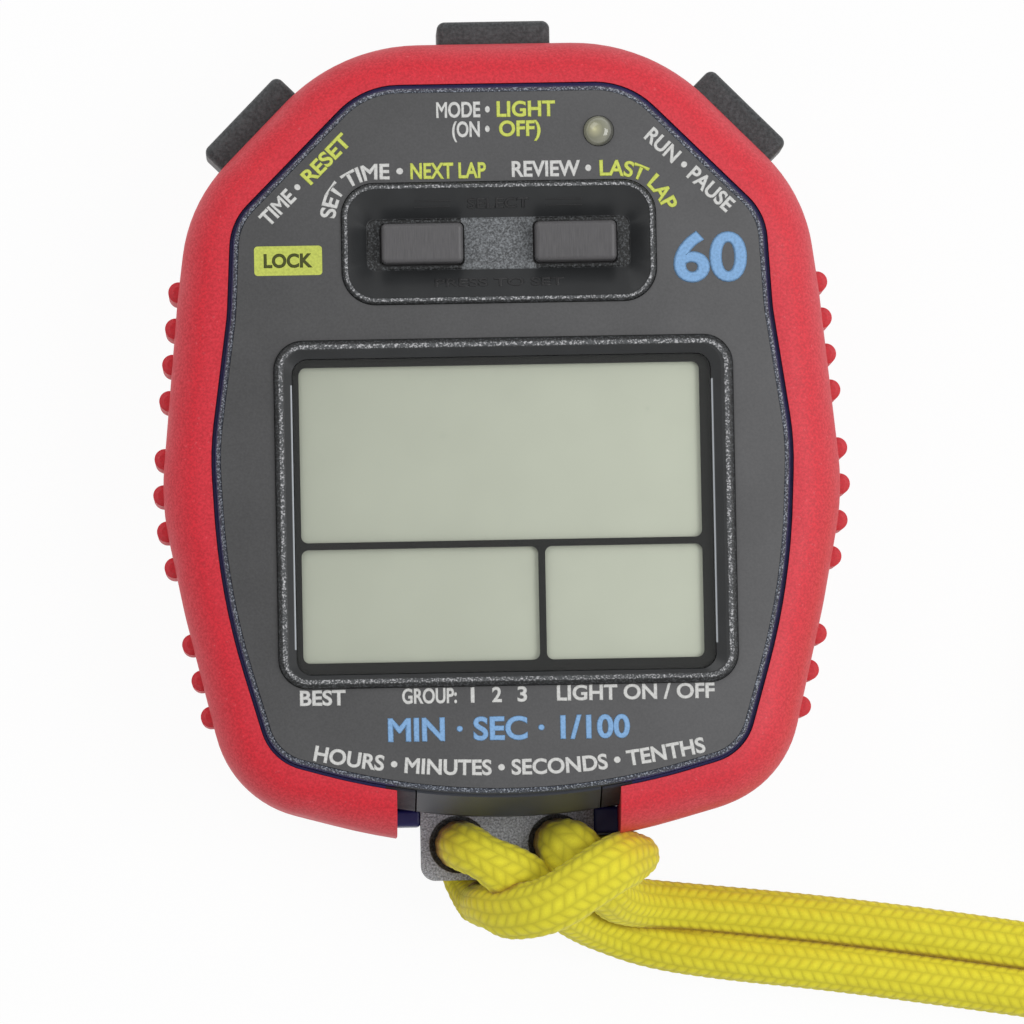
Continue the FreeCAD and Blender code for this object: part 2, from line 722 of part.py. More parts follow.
def face_parts():
    """Faceplate, window, mask, liquid crystal panel, backlight and its two rubber connectors."""
    gap = 2 * s.faceplate_fit
    holes = [
        rectangle(s.lip_width + gap, s.lip_length + gap, s.lip_round, s.plate_front, s.lip_x, s.lip_y),
        rectangle(s.panel_width + gap, s.panel_length + gap, s.panel_round, s.plate_front, 0, s.panel_y),
        Part.Wire(Part.makeCircle(s.lens_radius + s.lens_fit, Vector(s.lens_x, s.lens_y, s.plate_front))),
    ]
    plate = prism("faceplate", [rim_line(seat_inset + s.faceplate_fit, s.plate_front)] + holes,
                  "sizes.faceplate_thickness")
    piece("faceplate", plate)

    pane = prism("display_window", [rectangle(s.window_width, s.window_length, s.window_round - 0.1,
                                              s.window_seat + s.mask_thickness, 0, s.window_y)],
                 "sizes.window_thickness")
    piece("display_window", pane)

    wide = s.window_width - s.cell_left_margin - s.cell_right_margin
    long = s.window_length - s.cell_upper_margin - s.cell_lower_margin
    left = s.cell_left_margin - s.window_width / 2
    right = left + wide
    top = s.window_y + s.window_length / 2 - s.cell_upper_margin
    low_length = long - s.upper_cell_length - s.cell_divider
    low_y = top - long + low_length / 2
    right_width = wide - s.left_cell_width - s.cell_divider
    cells = [
        rectangle(wide, s.upper_cell_length, s.cell_round, s.window_seat, (left + right) / 2,
                  top - s.upper_cell_length / 2),
        rectangle(s.left_cell_width, low_length, s.cell_round, s.window_seat, left + s.left_cell_width / 2,
                  low_y),
        rectangle(right_width, low_length, s.cell_round, s.window_seat, right - right_width / 2, low_y),
    ]
    mask = prism("display_mask", [rectangle(s.window_width, s.window_length, s.window_round - 0.1,
                                            s.window_seat, 0, s.window_y)] + cells, "sizes.mask_thickness")
    piece("display_mask", mask)

    glass = box("lcd_panel", "sizes.glass_width", "sizes.glass_length",
                "sizes.glass_front - sizes.glass_back",
                Vector(-s.glass_width / 2, s.window_y - s.glass_length / 2, s.glass_back))
    piece("lcd_panel", glass)
    light_length = s.glass_length - 4 * s.connector_width
    light = box("backlight_panel", "sizes.glass_width - 4", str(light_length),
                "sizes.glass_back - sizes.backlight_back - 0.02",
                Vector(2 - s.glass_width / 2, s.window_y - light_length / 2, s.backlight_back))
    piece("backlight_panel", light)
    board_top = s.board_back + s.board_thickness
    reach = s.glass_length / 2 - s.connector_width
    for node, y in (("upper_connector", s.window_y + reach),
                    ("lower_connector", s.window_y - reach - s.connector_width)):
        strip = box(node, "sizes.glass_width - 4", "sizes.connector_width",
                    f"sizes.glass_back - {board_top}", Vector(2 - s.glass_width / 2, y, board_top))
        piece(node, strip)


def sensor_parts():
    """Domed lens over the light sensor, and the sensor on the board."""
    r = s.lens_radius
    wide = r + s.lens_flange
    low = s.board_back + s.board_thickness + s.sensor_height + 0.4
    flange = s.plate_back - 0.1
    foot = flange - s.lens_flange
    top = s.plate_front + s.faceplate_thickness
    shoulder = Vector(r, 0, top + 0.1)
    crown = Vector(0.2, 0, top + s.lens_rise)
    tip = Vector(0, 0, top + s.lens_rise)
    bulge = Vector(r * 0.75, 0, top + s.lens_rise * 0.72)
    path = [Vector(0, 0, low), Vector(r - 0.1, 0, low), Vector(r - 0.1, 0, foot), Vector(wide, 0, foot),
            Vector(wide, 0, flange), Vector(r, 0, flange), shoulder]
    edges = [Part.LineSegment(path[i], path[i + 1]).toShape() for i in range(len(path) - 1)]
    edges.append(Part.Arc(shoulder, bulge, crown).toShape())
    edges.append(Part.LineSegment(crown, tip).toShape())
    edges.append(Part.LineSegment(tip, path[0]).toShape())
    lens = feature("light_lens", Part.Face(Part.Wire(edges)).revolve(Vector(0, 0, 0), Vector(0, 0, 1), 360))
    lens.Placement = Placement(Vector(s.lens_x, s.lens_y, 0), Rotation())
    piece("light_lens", lens)
    board_top = s.board_back + s.board_thickness
    half = s.sensor_size / 2
    chip = box("light_sensor", "sizes.sensor_size", "sizes.sensor_size", "sizes.sensor_height",
               Vector(s.lens_x - half, s.lens_y - half, board_top))
    piece("light_sensor", chip)


# ---------------------------------------------------------------- rubber bumper

def flank_x(y):
    """Half width of the rubber at height y of the face."""
    return crossing(case_line(), Vector(0, y, 0), Vector(1, 0, 0))


def bumper():
    """Rubber band with nubs; it opens at the chin for the lug and has a window for each button."""
    block = prism("bumper_block", [case_line(0.0, s.bumper_back)], "sizes.bumper_front - sizes.bumper_back")
    front = edges_where(block.Shape, flat_at(s.bumper_front))
    crowned = rounded("bumper_crowned", block, front, s.bumper_front_round)
    back = edges_where(crowned.Shape, flat_at(s.bumper_back))
    body = rounded("bumper_body", crowned, back, s.bumper_back_round)
    nubs = []
    stretch = s.case_length / DRAWN_LENGTH
    for start, count in ((14.3, 4), (-2.5, 4), (-21.2, 3)):
        for step in range(count):
            y = (start - step * s.nub_pitch) * stretch
            for side in (-1, 1):
                spot = Vector(side * flank_x(y), y, s.nub_height - s.nub_length / 2)
                rib = cylinder(f"nub_{len(nubs)}", "sizes.nub_radius", "sizes.nub_length", spot)
                doc.recompute()
                ends = edges_where(rib.Shape, lambda e: e.BoundBox.ZLength < 0.01)
                nubs.append(chamfered(f"nub_soft_{len(nubs)}", rib, ends, 0.5))
    ribbed = fuse("bumper_ribbed", [body] + nubs)
    core = feature("bumper_core", wall_solid(s.rubber_fit, -1.0))
    hole = prism("bumper_face_hole", [rim_line(-s.rubber_fit, s.rim_top - 1)], "5")
    half = s.bumper_gap / 2
    gap = box("bumper_chin_gap", "sizes.bumper_gap", "16", "30", Vector(-half, case_box.YMin - 8, -2))
    tools = [core, hole, gap]
    for spot in BUTTONS:
        window = box(f"{spot.name}_window", f"sizes.{spot.width} + 2 * sizes.cap_fit",
                     "sizes.cap_height + 2 * sizes.cap_fit", "14", Vector(0, 0, 0))
        half_width = getattr(s, spot.width) / 2 + s.cap_fit
        half_height = s.cap_height / 2 + s.cap_fit
        window.Placement = in_frame(spot.frame, -half_width, -half_height, -2)
        tools.append(window)
    return piece("bumper", cut("bumper", ribbed, tools))


# ---------------------------------------------------------------- circuit board and what is on it

def board_parts():
    """Circuit board with its chip, crystal and capacitors, and the screws that hold it."""
    blank = prism("board_blank", [rim_line(s.board_inset, s.board_back)], "sizes.board_thickness")
    holes = []
    for index, (x, y) in enumerate(CASE_SCREWS):
        holes.append(cylinder(f"board_pillar_hole_{index}", "sizes.pillar_radius + 0.4", "4",
                              Vector(x, y, s.board_back - 1)))
    for index, (x, y) in enumerate(BOARD_SCREWS):
        holes.append(cylinder(f"board_screw_hole_{index}", "sizes.board_screw_radius + 0.15", "4",
                              Vector(x, y, s.board_back - 1)))
    piece("circuit_board", cut("circuit_board", blank, holes))
    chip = box("timer_chip", "sizes.chip_size", "sizes.chip_size", "sizes.chip_height",
               Vector(-s.chip_size / 2, 0.5, s.board_back - s.chip_height))
    piece("timer_chip", chip)
    crystal = cylinder("quartz_crystal", "sizes.crystal_radius", "sizes.crystal_length",
                       Vector(8, 3, s.board_back - s.crystal_radius),
                       Rotation(Vector(0, 1, 0), 90))
    piece("quartz_crystal", crystal)
    caps = [box(f"capacitor_{i}", "2", "1.2", "0.9", Vector(-12, 1 + 2.4 * i, s.board_back - 0.9))
            for i in range(3)]
    doc.recompute()
    piece("filter_capacitors", feature("filter_capacitors", Part.Compound([cap.Shape for cap in caps])))
    r = s.board_screw_radius
    head = s.board_screw_head
    screws = []
    end = s.board_screw_length
    for x, y in BOARD_SCREWS:
        screw = revolved("board_screw", [(0, -1.0), (head, -1.0), (head, 0), (r, 0), (r, end), (0, end)],
                         Vector(x, y, s.board_back))
        screws.append(screw.Shape)
    piece("board_screws", feature("board_screws", Part.Compound(screws)))


def case_screws():
    """Four screws from the back, with crossed slots."""
    r = s.case_screw_radius
    head = s.case_screw_head
    low = s.case_screw_back
    rise = s.case_screw_head_height
    screws = []
    for x, y in CASE_SCREWS:
        profile = [(0, low), (head - 0.2, low), (head, low + 0.2), (head, low + rise), (r, low + rise),
                   (r, low + s.case_screw_length), (0, low + s.case_screw_length)]
        screw = revolved("case_screw", profile).Shape
        for long, wide in ((2.4, 0.5), (0.5, 2.4)):
            screw = screw.cut(Part.makeBox(long, wide, 0.8, Vector(-long / 2, -wide / 2, low - 0.1)))
        screw.translate(Vector(x, y, 0))
        screws.append(screw)
    return piece("case_screws", feature("case_screws", Part.Compound(screws)))


def gasket():
    """Flat seal between the rear housing's shelf and the front housing's skirt."""
    ring = prism("case_gasket", [rim_line(front_inset, s.shelf_height),
                                 rim_line(front_inset + s.skirt_wall, s.shelf_height)],
                 "sizes.gasket_thickness")
    return piece("case_gasket", ring)


def buzzer():
    """Thin brass disc with its ceramic on the floor."""
    r = s.buzzer_radius
    inner = 0.7 * r
    disc = revolved("buzzer", [(0, 0), (r, 0), (r, 0.25), (inner, 0.25), (inner, 0.5), (0, 0.5)],
                    Vector(0, s.buzzer_y, s.floor))
    return piece("buzzer", disc)


# ---------------------------------------------------------------- battery

CONTACT_LIFT = 0.02                  # keeps the leaf just off the cell


def battery_parts():
    """Coin cell, its cover and seal, and the two contact strips."""
    middle = Vector(0, s.cell_y, 0)
    r = s.cover_radius
    low = s.cover_sink
    shelf = low + s.cover_thickness
    spigot = r - s.seal_width
    cover = revolved("cover_disc", [(0, low), (r - 0.3, low), (r, low + 0.3), (r, shelf), (spigot, shelf),
                                    (spigot, shelf + s.seal_height), (0, shelf + s.seal_height)], middle)
    slot_middle = low + s.coin_slot_depth - s.coin_slot_radius
    slot = cylinder("coin_slot_disc", "sizes.coin_slot_radius", "sizes.coin_slot_width",
                    middle + Vector(-s.coin_slot_width / 2, 0, slot_middle), Rotation(Vector(0, 1, 0), 90))
    piece("battery_cover", cut("battery_cover", cover, [slot]))

    inside = spigot + 0.05
    outside = r + s.cover_fit - 0.05
    seal = revolved("cover_seal", [(inside, shelf + 0.02), (outside, shelf + 0.02),
                                   (outside, shelf + s.seal_height), (inside, shelf + s.seal_height)], middle)
    piece("cover_seal", seal)

    c = s.cell_radius
    bottom = s.cell_lift
    top = bottom + s.cell_thickness
    cell = revolved("coin_cell", [(0, bottom), (c - 0.3, bottom), (c, bottom + 0.3), (c, top - 0.6),
                                  (c - 1.1, top - 0.6), (c - 1.3, top), (0, top)], middle)
    piece("coin_cell", cell)

    y = s.cell_y
    leaf_z = top + CONTACT_LIFT
    leaf = box("contact_leaf", "sizes.contact_width", "sizes.contact_reach + 1 + sizes.contact_thickness",
               "sizes.contact_thickness", Vector(-s.contact_width / 2, y - 1, leaf_z))
    riser = box("contact_riser", "sizes.contact_width", "sizes.contact_thickness",
                f"sizes.board_back - {leaf_z}", Vector(-s.contact_width / 2, y + s.contact_reach, leaf_z))
    piece("upper_contact", fuse("upper_contact", [leaf, riser]))
    strip_z = bottom + 0.4
    strip = box("side_contact", "sizes.contact_thickness", "sizes.side_contact_width",
                f"sizes.board_back - {strip_z}", Vector(c + 0.05, y - s.side_contact_width / 2, strip_z))
    piece("side_contact", strip)


# ---------------------------------------------------------------- push buttons

STEPS_PER_TURN = 10


def wound_wire(height):
    """Compression spring of square wire, wound about Z in short straight steps."""
    steps = int(s.spring_turns * STEPS_PER_TURN)
    spots = []
    for step in range(steps + 1):
        angle = 2 * math.pi * step / STEPS_PER_TURN
        rise = s.spring_wire + 0.05 + height * step / steps
        spots.append((angle, rise))
    sections = []
    w = s.spring_wire * 0.88
    for angle, rise in spots:
        out = Vector(math.cos(angle), math.sin(angle), 0)
        middle = out * s.spring_radius + Vector(0, 0, rise)
        up = Vector(0, 0, 1)
        corner = [middle + out * w + up * w, middle - out * w + up * w,
                  middle - out * w - up * w, middle + out * w - up * w]
        sections.append(Part.makePolygon(corner + corner[:1]))
    return Part.makeLoft(sections, True, True)


def push_button(spot):
    """Cap with a spring pocket on a grooved stem, with its clip, spring, ring seal and switch."""
    name = spot.name
    cap_gap = s.button_travel + s.cap_stop
    end = -(spot.wall + s.stem_reach)
    body = doc.addObject("PartDesign::Body", f"{name}_button")
    face = rectangle_sketch(body, f"{name}_cap_sketch", "XY_Plane", f"sizes.{spot.width}",
                            "sizes.cap_height", cap_gap)
    cap = pad(body, f"{name}_cap", face, f"sizes.bumper_wall + sizes.{spot.rise} - {cap_gap}")
    top = s.bumper_wall + getattr(s, spot.rise)
    soft = body.newObject("PartDesign::Fillet", f"{name}_cap_round")
    sides = edges_where(cap.Shape, lambda e: e.BoundBox.ZLength > 1)
    crown = edges_where(cap.Shape, flat_at(top))
    soft.Base = (cap, [f"Edge{number}" for number in sides + crown])
    soft.setExpression("Radius", "sizes.cap_round")
    doc.recompute()
    well = circle_sketch(body, f"{name}_pocket_sketch", "XY_Plane",
                         "sizes.spring_radius + sizes.spring_wire + 0.15", cap_gap)
    pocket(body, f"{name}_pocket", well, "sizes.spring_pocket", reverse=True)
    shank = circle_sketch(body, f"{name}_stem_sketch", "XY_Plane", "sizes.stem_radius", end)
    pad(body, f"{name}_stem", shank, f"{cap_gap} + sizes.spring_pocket + {-end}")
    clip_low = -(spot.wall + 0.15) - s.clip_thickness
    ring = body.newObject("Sketcher::SketchObject", f"{name}_groove_sketch")
    ring.AttachmentSupport = [(plane_of(body, "XZ_Plane"), "")]
    ring.MapMode = "FlatFace"
    neck = s.stem_radius - 0.4
    r = s.stem_radius + 0.2
    corner = [Vector(neck, clip_low - 0.03, 0), Vector(r, clip_low - 0.03, 0),
              Vector(r, clip_low + s.clip_thickness + 0.03, 0),
              Vector(neck, clip_low + s.clip_thickness + 0.03, 0)]
    ring.addGeometry([Part.LineSegment(corner[i], corner[(i + 1) % 4]) for i in range(4)], False)
    before = body.Shape.Volume
    groove = body.newObject("PartDesign::Groove", f"{name}_groove")
    groove.Profile = ring
    groove.ReferenceAxis = (ring, ["V_Axis"])
    groove.Angle = 360
    doc.recompute()
    if body.Shape.Volume > before - TINY:
        raise RuntimeError(name + " groove cuts nothing")
    body.Placement = spot.frame
    piece(f"{name}_button", body)

    clip = revolved(f"{name}_clip", [(neck + 0.04, clip_low), (s.clip_radius, clip_low),
                                     (s.clip_radius, clip_low + s.clip_thickness),
                                     (neck + 0.04, clip_low + s.clip_thickness)])
    clip.Placement = spot.frame
    piece(f"{name}_clip", clip)

    height = cap_gap + s.spring_pocket - 2 * s.spring_wire - 0.1
    spring = feature(f"{name}_spring", wound_wire(height))
    spring.Placement = spot.frame
    piece(f"{name}_spring", spring)

    bore = s.stem_radius + s.stem_fit
    thick = 2 * s.ring_section
    bevel = 0.3 * s.ring_section
    seal = revolved(f"{name}_seal", [(bore, -thick), (bore + thick - bevel, -thick),
                                     (bore + thick, bevel - thick), (bore + thick, -bevel),
                                     (bore + thick - bevel, 0), (bore, 0)])
    seal.Placement = in_frame(spot.frame, 0, 0, -0.1)
    piece(f"{name}_seal", seal)

    face_z = end - s.switch_gap
    rise = s.board_back - s.button_height
    reach = s.plunger_radius
    block = box(f"{name}_switch_block", "sizes.switch_width", str(rise + 1.6), "sizes.switch_depth",
                Vector(0, 0, 0))
    block.Placement = in_frame(spot.frame, -s.switch_width / 2, -rise, face_z - reach - s.switch_depth + 0.1)
    plunger = cylinder(f"{name}_plunger", "sizes.plunger_radius", str(reach),
                       in_frame(spot.frame, 0, 0, face_z - reach).Base, spot.frame.Rotation)
    piece(f"{name}_switch", fuse(f"{name}_switch", [block, plunger]))


# ---------------------------------------------------------------- keys

def face_key(side, name):
    """Face key with a flange under the front plate, and the rubber dome that lifts it."""
    middle = side * s.key_spacing / 2
    flange_low = s.plate_back - 0.1 - s.key_flange_height
    body = doc.addObject("PartDesign::Body", f"{name}_key")
    base = rectangle_sketch(body, f"{name}_key_flange_sketch", "XY_Plane",
                            "sizes.key_width + 2 * sizes.key_flange",
                            "sizes.key_length + 2 * sizes.key_flange", 0)
    pad(body, f"{name}_key_flange", base, "sizes.key_flange_height")
    face = rectangle_sketch(body, f"{name}_key_sketch", "XY_Plane", "sizes.key_width",
                            "sizes.key_length", 0)
    cap = pad(body, f"{name}_key_cap", face, f"sizes.key_top - {flange_low}")
    top = s.key_top - flange_low
    soft = body.newObject("PartDesign::Fillet", f"{name}_key_round")
    crown = edges_where(cap.Shape, flat_at(top))
    sides = edges_where(cap.Shape, lambda e: e.BoundBox.ZLength > 1)
    soft.Base = (cap, [f"Edge{number}" for number in crown + sides])
    soft.setExpression("Radius", "sizes.key_round")
    doc.recompute()
    body.Placement = Placement(Vector(middle, s.panel_y, flange_low), Rotation())
    piece(f"{name}_key", body)
    r = s.dome_radius
    board_top = s.board_back + s.board_thickness
    tall = flange_low - board_top - s.key_travel - s.dome_gap
    dome = revolved(f"{name}_dome", [(0, 0.9), (r - 0.7, 0.9), (r - 0.5, 0), (r + 0.5, 0), (r + 0.5, 0.4),
                                     (r, 0.4), (r - 0.8, tall), (0, tall)],
                    Vector(middle, s.panel_y, board_top))
    piece(f"{name}_dome", dome)


# ---------------------------------------------------------------- lanyard

# One cord: from the right hole to the front, down under the crossing strand and away to the right;
# back beside itself, under the crossing strand, over the lug's edge, down the left hole, round to the
# front as the crossing strand, and behind the lug into the right hole again.
HOLE = s.hole_spacing / 2
CORD_OUT = [
    (HOLE, s.hole_y, 8.4),
    (HOLE, s.hole_y, 11.2),
    (5.6, -42.3, 13.6),
    (7.7, -44.3, 13.8),
    (9.3, -46.3, 12.0),
    (11.0, -47.6, 8.2),
    (14.2, -47.9, 3.8),
    (20.0, -48.6, 2.4),
    (31.0, -49.8, 2.4),
    (44.0, -51.6, 2.4),
    (58.0, -53.9, 2.4),
    (68.0, -55.2, 3.9),
    (78.0, -56.2, 6.5),
]
CORD_BACK = [
    (86.0, -57.4, 2.4),
    (74.0, -59.9, 2.4),
    (60.0, -59.2, 2.4),
    (46.0, -57.0, 2.4),
    (33.0, -55.0, 2.4),
    (22.0, -53.6, 2.4),
    (14.5, -52.4, 2.4),
    (9.4, -50.5, 3.8),
    (5.6, -48.8, 8.6),
    (2.6, -46.3, 13.4),
    (-1.4, -43.8, 15.2),
    (-4.6, -42.0, 13.4),
    (-HOLE, s.hole_y, 9.2),
    (-HOLE, s.hole_y, 5.2),
    (-5.2, -43.0, 2.6),
    (-4.8, -46.6, 2.6),
    (-3.9, -48.3, 6.4),
    (-2.8, -48.4, 11.2),
    (0.0, -49.2, 15.6),
    (4.2, -48.6, 18.0),
    (8.4, -46.5, 18.5),
    (12.0, -44.8, 16.6),
    (13.8, -43.9, 11.6),
    (13.2, -43.5, 6.6),
    (10.4, -42.8, 2.9),
    (6.6, -41.8, 2.5),
    (HOLE, s.hole_y, 4.8),
    (HOLE, s.hole_y, 8.4),
]


CORD_SIDES = 8                       # the tube's section is a many-sided ring


def cord_path(points):
    """Straight runs joined by tangent arcs, each as large as its shorter run allows."""
    spots = [Vector(*point) for point in points]
    edges = []
    radii = []
    start = spots[0]
    for before, corner, after in zip(spots, spots[1:], spots[2:]):
        back = (before - corner)
        ahead = (after - corner)
        shorter = min(back.Length, ahead.Length)
        back.normalize()
        ahead.normalize()
        half_turn = (math.pi - back.getAngle(ahead)) / 2
        reach = 0.45 * shorter
        radius = reach / math.tan(half_turn)
        sink = radius / math.cos(half_turn) - radius
        enter = corner + back * reach
        leave = corner + ahead * reach
        edges.append(Part.LineSegment(start, enter).toShape())
        edges.append(Part.Arc(enter, corner + (back + ahead).normalize() * sink, leave).toShape())
        radii.append(round(radius, 1))
        start = leave
    edges.append(Part.LineSegment(start, spots[-1]).toShape())
    return Part.Wire(edges), radii


def cord_tube(node, points):
    """Round tube along a path; its volume is compared with section times length."""
    path, radii = cord_path(points)
    start = Vector(*points[0])
    along = (Vector(*points[1]) - start).normalize()
    across = along.cross(Vector(0, 1, 0)).normalize()
    corner = []
    for side in range(CORD_SIDES):
        turn = Rotation(along, 360 * (side + 0.5) / CORD_SIDES)
        corner.append(start + turn.multVec(across) * (s.cord_diameter / 2))
    ring = Part.makePolygon(corner + corner[:1])
    tube = path.makePipeShell([ring], True, False)
    ideal = Part.Face(ring).Area * path.Length
    share = tube.Volume / ideal
    print(node, "radii", radii, "length", round(path.Length, 1), "volume share", round(share, 4))
    if abs(share - 1) > 0.02:
        raise RuntimeError(node + " has the wrong volume")
    return piece(node, feature(node, tube))


def lanyard():
    """The two free strands and the wound rest of the cord, two turns wide and two high."""
    cord_tube("lanyard_upper", CORD_OUT)
    cord_tube("lanyard_lower", CORD_BACK)
    d = s.cord_diameter
    inner = s.coil_middle_radius - d
    outer = s.coil_middle_radius + d
    b = 0.3 * d
    profile = [(inner + b, 0), (outer - b, 0), (outer, b), (outer, 2 * d - b), (outer - b, 2 * d),
               (inner + b, 2 * d), (inner, 2 * d - b), (inner, b)]
    piece("lanyard_coil", revolved("lanyard_coil", profile, Vector(s.coil_x, s.coil_y, 0)))


# ---------------------------------------------------------------- the whole

rear_housing()
front_housing()
face_parts()
sensor_parts()
bumper()
board_parts()
case_screws()
gasket()
buzzer()
battery_parts()
for spot in BUTTONS:
    push_button(spot)
face_key(-1, "left")
face_key(1, "right")
lanyard()
doc.recompute()

CORD_NODES = ("lanyard_upper", "lanyard_lower", "lanyard_coil")
for item in doc.Objects:
    if "Invalid" in item.State or "Error" in item.State:
        raise RuntimeError(item.Name + " failed")
bound = FreeCAD.BoundBox()
for node, item in pieces.items():
    if item.Shape.isNull() or not item.Shape.isValid():
        raise RuntimeError(node + " is not a valid shape")
    if node not in CORD_NODES:
        bound.add(item.Shape.BoundBox)
shift = Vector(-bound.Center.x, -bound.Center.y, -bound.ZMin)

os.makedirs("parts", exist_ok=True)
for node, item in pieces.items():
    item.Placement = Placement(shift, Rotation()).multiply(item.Placement)
doc.recompute()
for node, item in pieces.items():
    item.Shape.exportStep(f"parts/{node}.step")
print("nodes", len(pieces), "shift", [round(value, 4) for value in shift])
for spot in BUTTONS:
    print(spot.name, "out", [round(value, 5) for value in spot.out], "base",
          [round(value, 4) for value in spot.frame.Base + shift])
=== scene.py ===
import json
import math
from contextlib import contextmanager

import bmesh
import bpy
from bpy.props import FloatProperty, FloatVectorProperty, IntProperty, PointerProperty
from mathutils import Matrix, Vector
from mathutils.kdtree import KDTree


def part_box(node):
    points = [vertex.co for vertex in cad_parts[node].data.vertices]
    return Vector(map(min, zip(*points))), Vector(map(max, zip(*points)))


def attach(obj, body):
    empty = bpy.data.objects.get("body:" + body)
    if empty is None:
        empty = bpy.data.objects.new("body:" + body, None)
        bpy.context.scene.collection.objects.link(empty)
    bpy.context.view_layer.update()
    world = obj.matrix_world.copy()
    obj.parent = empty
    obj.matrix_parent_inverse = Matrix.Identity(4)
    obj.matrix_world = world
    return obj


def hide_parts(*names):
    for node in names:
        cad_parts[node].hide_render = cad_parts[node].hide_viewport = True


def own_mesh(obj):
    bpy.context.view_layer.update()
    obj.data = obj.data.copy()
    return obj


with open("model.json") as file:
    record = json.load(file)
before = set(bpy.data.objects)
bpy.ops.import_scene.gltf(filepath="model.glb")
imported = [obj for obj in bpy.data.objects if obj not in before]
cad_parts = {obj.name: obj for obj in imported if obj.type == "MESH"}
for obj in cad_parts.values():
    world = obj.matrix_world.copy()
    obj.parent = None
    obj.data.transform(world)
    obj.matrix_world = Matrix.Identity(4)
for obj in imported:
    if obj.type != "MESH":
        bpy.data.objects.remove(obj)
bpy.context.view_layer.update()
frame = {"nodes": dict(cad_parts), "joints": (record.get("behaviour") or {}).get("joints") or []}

bl_info = {
    "name": "Digital Stopwatch",
    "version": (1, 0, 0),
    "blender": (4, 5, 0),
    "location": "3D View > Sidebar > Stopwatch",
    "description": "Finishes, printing and lanyard of a hand-held digital stopwatch",
    "category": "Object",
}

# The frame is in metres: +X right, +Y to the top button, +Z out of the face. The watch lies on z = 0.
MM = 0.001


# ---------------------------------------------------------------- sizes and colours a user would change

def length_property(name, description, default):
    """A length in metres."""
    return FloatProperty(name=name, description=description, default=default, unit="LENGTH", precision=5)


def colour_property(name, description, default):
    """A colour as a colour picker shows it."""
    return FloatVectorProperty(name=name, description=description, default=default, subtype="COLOR_GAMMA",
                               size=3, min=0.0, max=1.0)


class StopwatchViewSettings(bpy.types.PropertyGroup):
    """Where the camera stands."""

    distance: length_property("Distance", "From the camera to the point it looks at", 0.9)
    width: length_property("Width", "Width of the view at that distance", 103.6 * MM)
    yaw: FloatProperty(name="Yaw", description="How far the camera leans to the left", subtype="ANGLE",
                       default=math.radians(1.5))
    pitch: FloatProperty(name="Pitch", description="How far the camera leans to the chin", subtype="ANGLE",
                         default=math.radians(3.0))
    roll: FloatProperty(name="Roll", description="Turn of the watch in the view", subtype="ANGLE",
                        default=math.radians(1.1))
    aim: FloatVectorProperty(name="Aim", description="Point the camera looks at", subtype="TRANSLATION",
                             default=(1.08 * MM, -6.2 * MM, 10.7 * MM), precision=5)


class StopwatchLightSettings(bpy.types.PropertyGroup):
    """Studio light and floor."""

    sky: FloatProperty(name="Sky", description="Strength of the even light", default=0.45, min=0.0)
    key: FloatProperty(name="Key", description="Power of the lamp at the right, in watts", default=3.0,
                       min=0.0)
    fill: FloatProperty(name="Fill", description="Power of the lamp at the top left, in watts", default=1.5,
                        min=0.0)
    floor: colour_property("Floor", "Colour of the table", (0.97, 0.97, 0.97))


class StopwatchFinishSettings(bpy.types.PropertyGroup):
    """Colours of the mouldings and the printing."""

    rubber: colour_property("Rubber", "Band round the case", (0.935, 0.19, 0.25))
    navy: colour_property("Navy", "Rear housing", (0.13, 0.13, 0.40))
    black: colour_property("Black", "Front housing and buttons", (0.222, 0.228, 0.234))
    plate: colour_property("Face plate", "Printed plate", (0.318, 0.318, 0.322))
    keys: colour_property("Keys", "The two keys", (0.365, 0.36, 0.367))
    liquid_crystal: colour_property("Display", "Blank display", (0.835, 0.84, 0.785))
    white_ink: colour_property("White ink", "First printing", (0.90, 0.90, 0.89))
    yellow_ink: colour_property("Yellow ink", "Second printing", (0.87, 0.91, 0.42))
    blue_ink: colour_property("Blue ink", "Third printing", (0.56, 0.74, 0.93))


class StopwatchCordSettings(bpy.types.PropertyGroup):
    """The braided lanyard."""

    diameter: length_property("Diameter", "Thickness of the cord", 4.4 * MM)
    coil_radius: length_property("Coil radius", "From the coil's middle to the middle of its turns",
                                 24.0 * MM)
    columns: IntProperty(name="Columns", description="Columns of the braid round the cord", default=12, min=4)
    pitch: length_property("Pitch", "From one row of the braid to the next", 1.12 * MM)
    relief: length_property("Relief", "How far the braid stands out", 0.1 * MM)
    colour: colour_property("Colour", "Top of the braid", (0.955, 0.92, 0.24))


# ---------------------------------------------------------------- node materials

def linear(colour):
    """A picker colour as the linear one that a shader reads."""
    return [c / 12.92 if c <= 0.04045 else ((c + 0.055) / 1.055) ** 2.4 for c in colour] + [1.0]


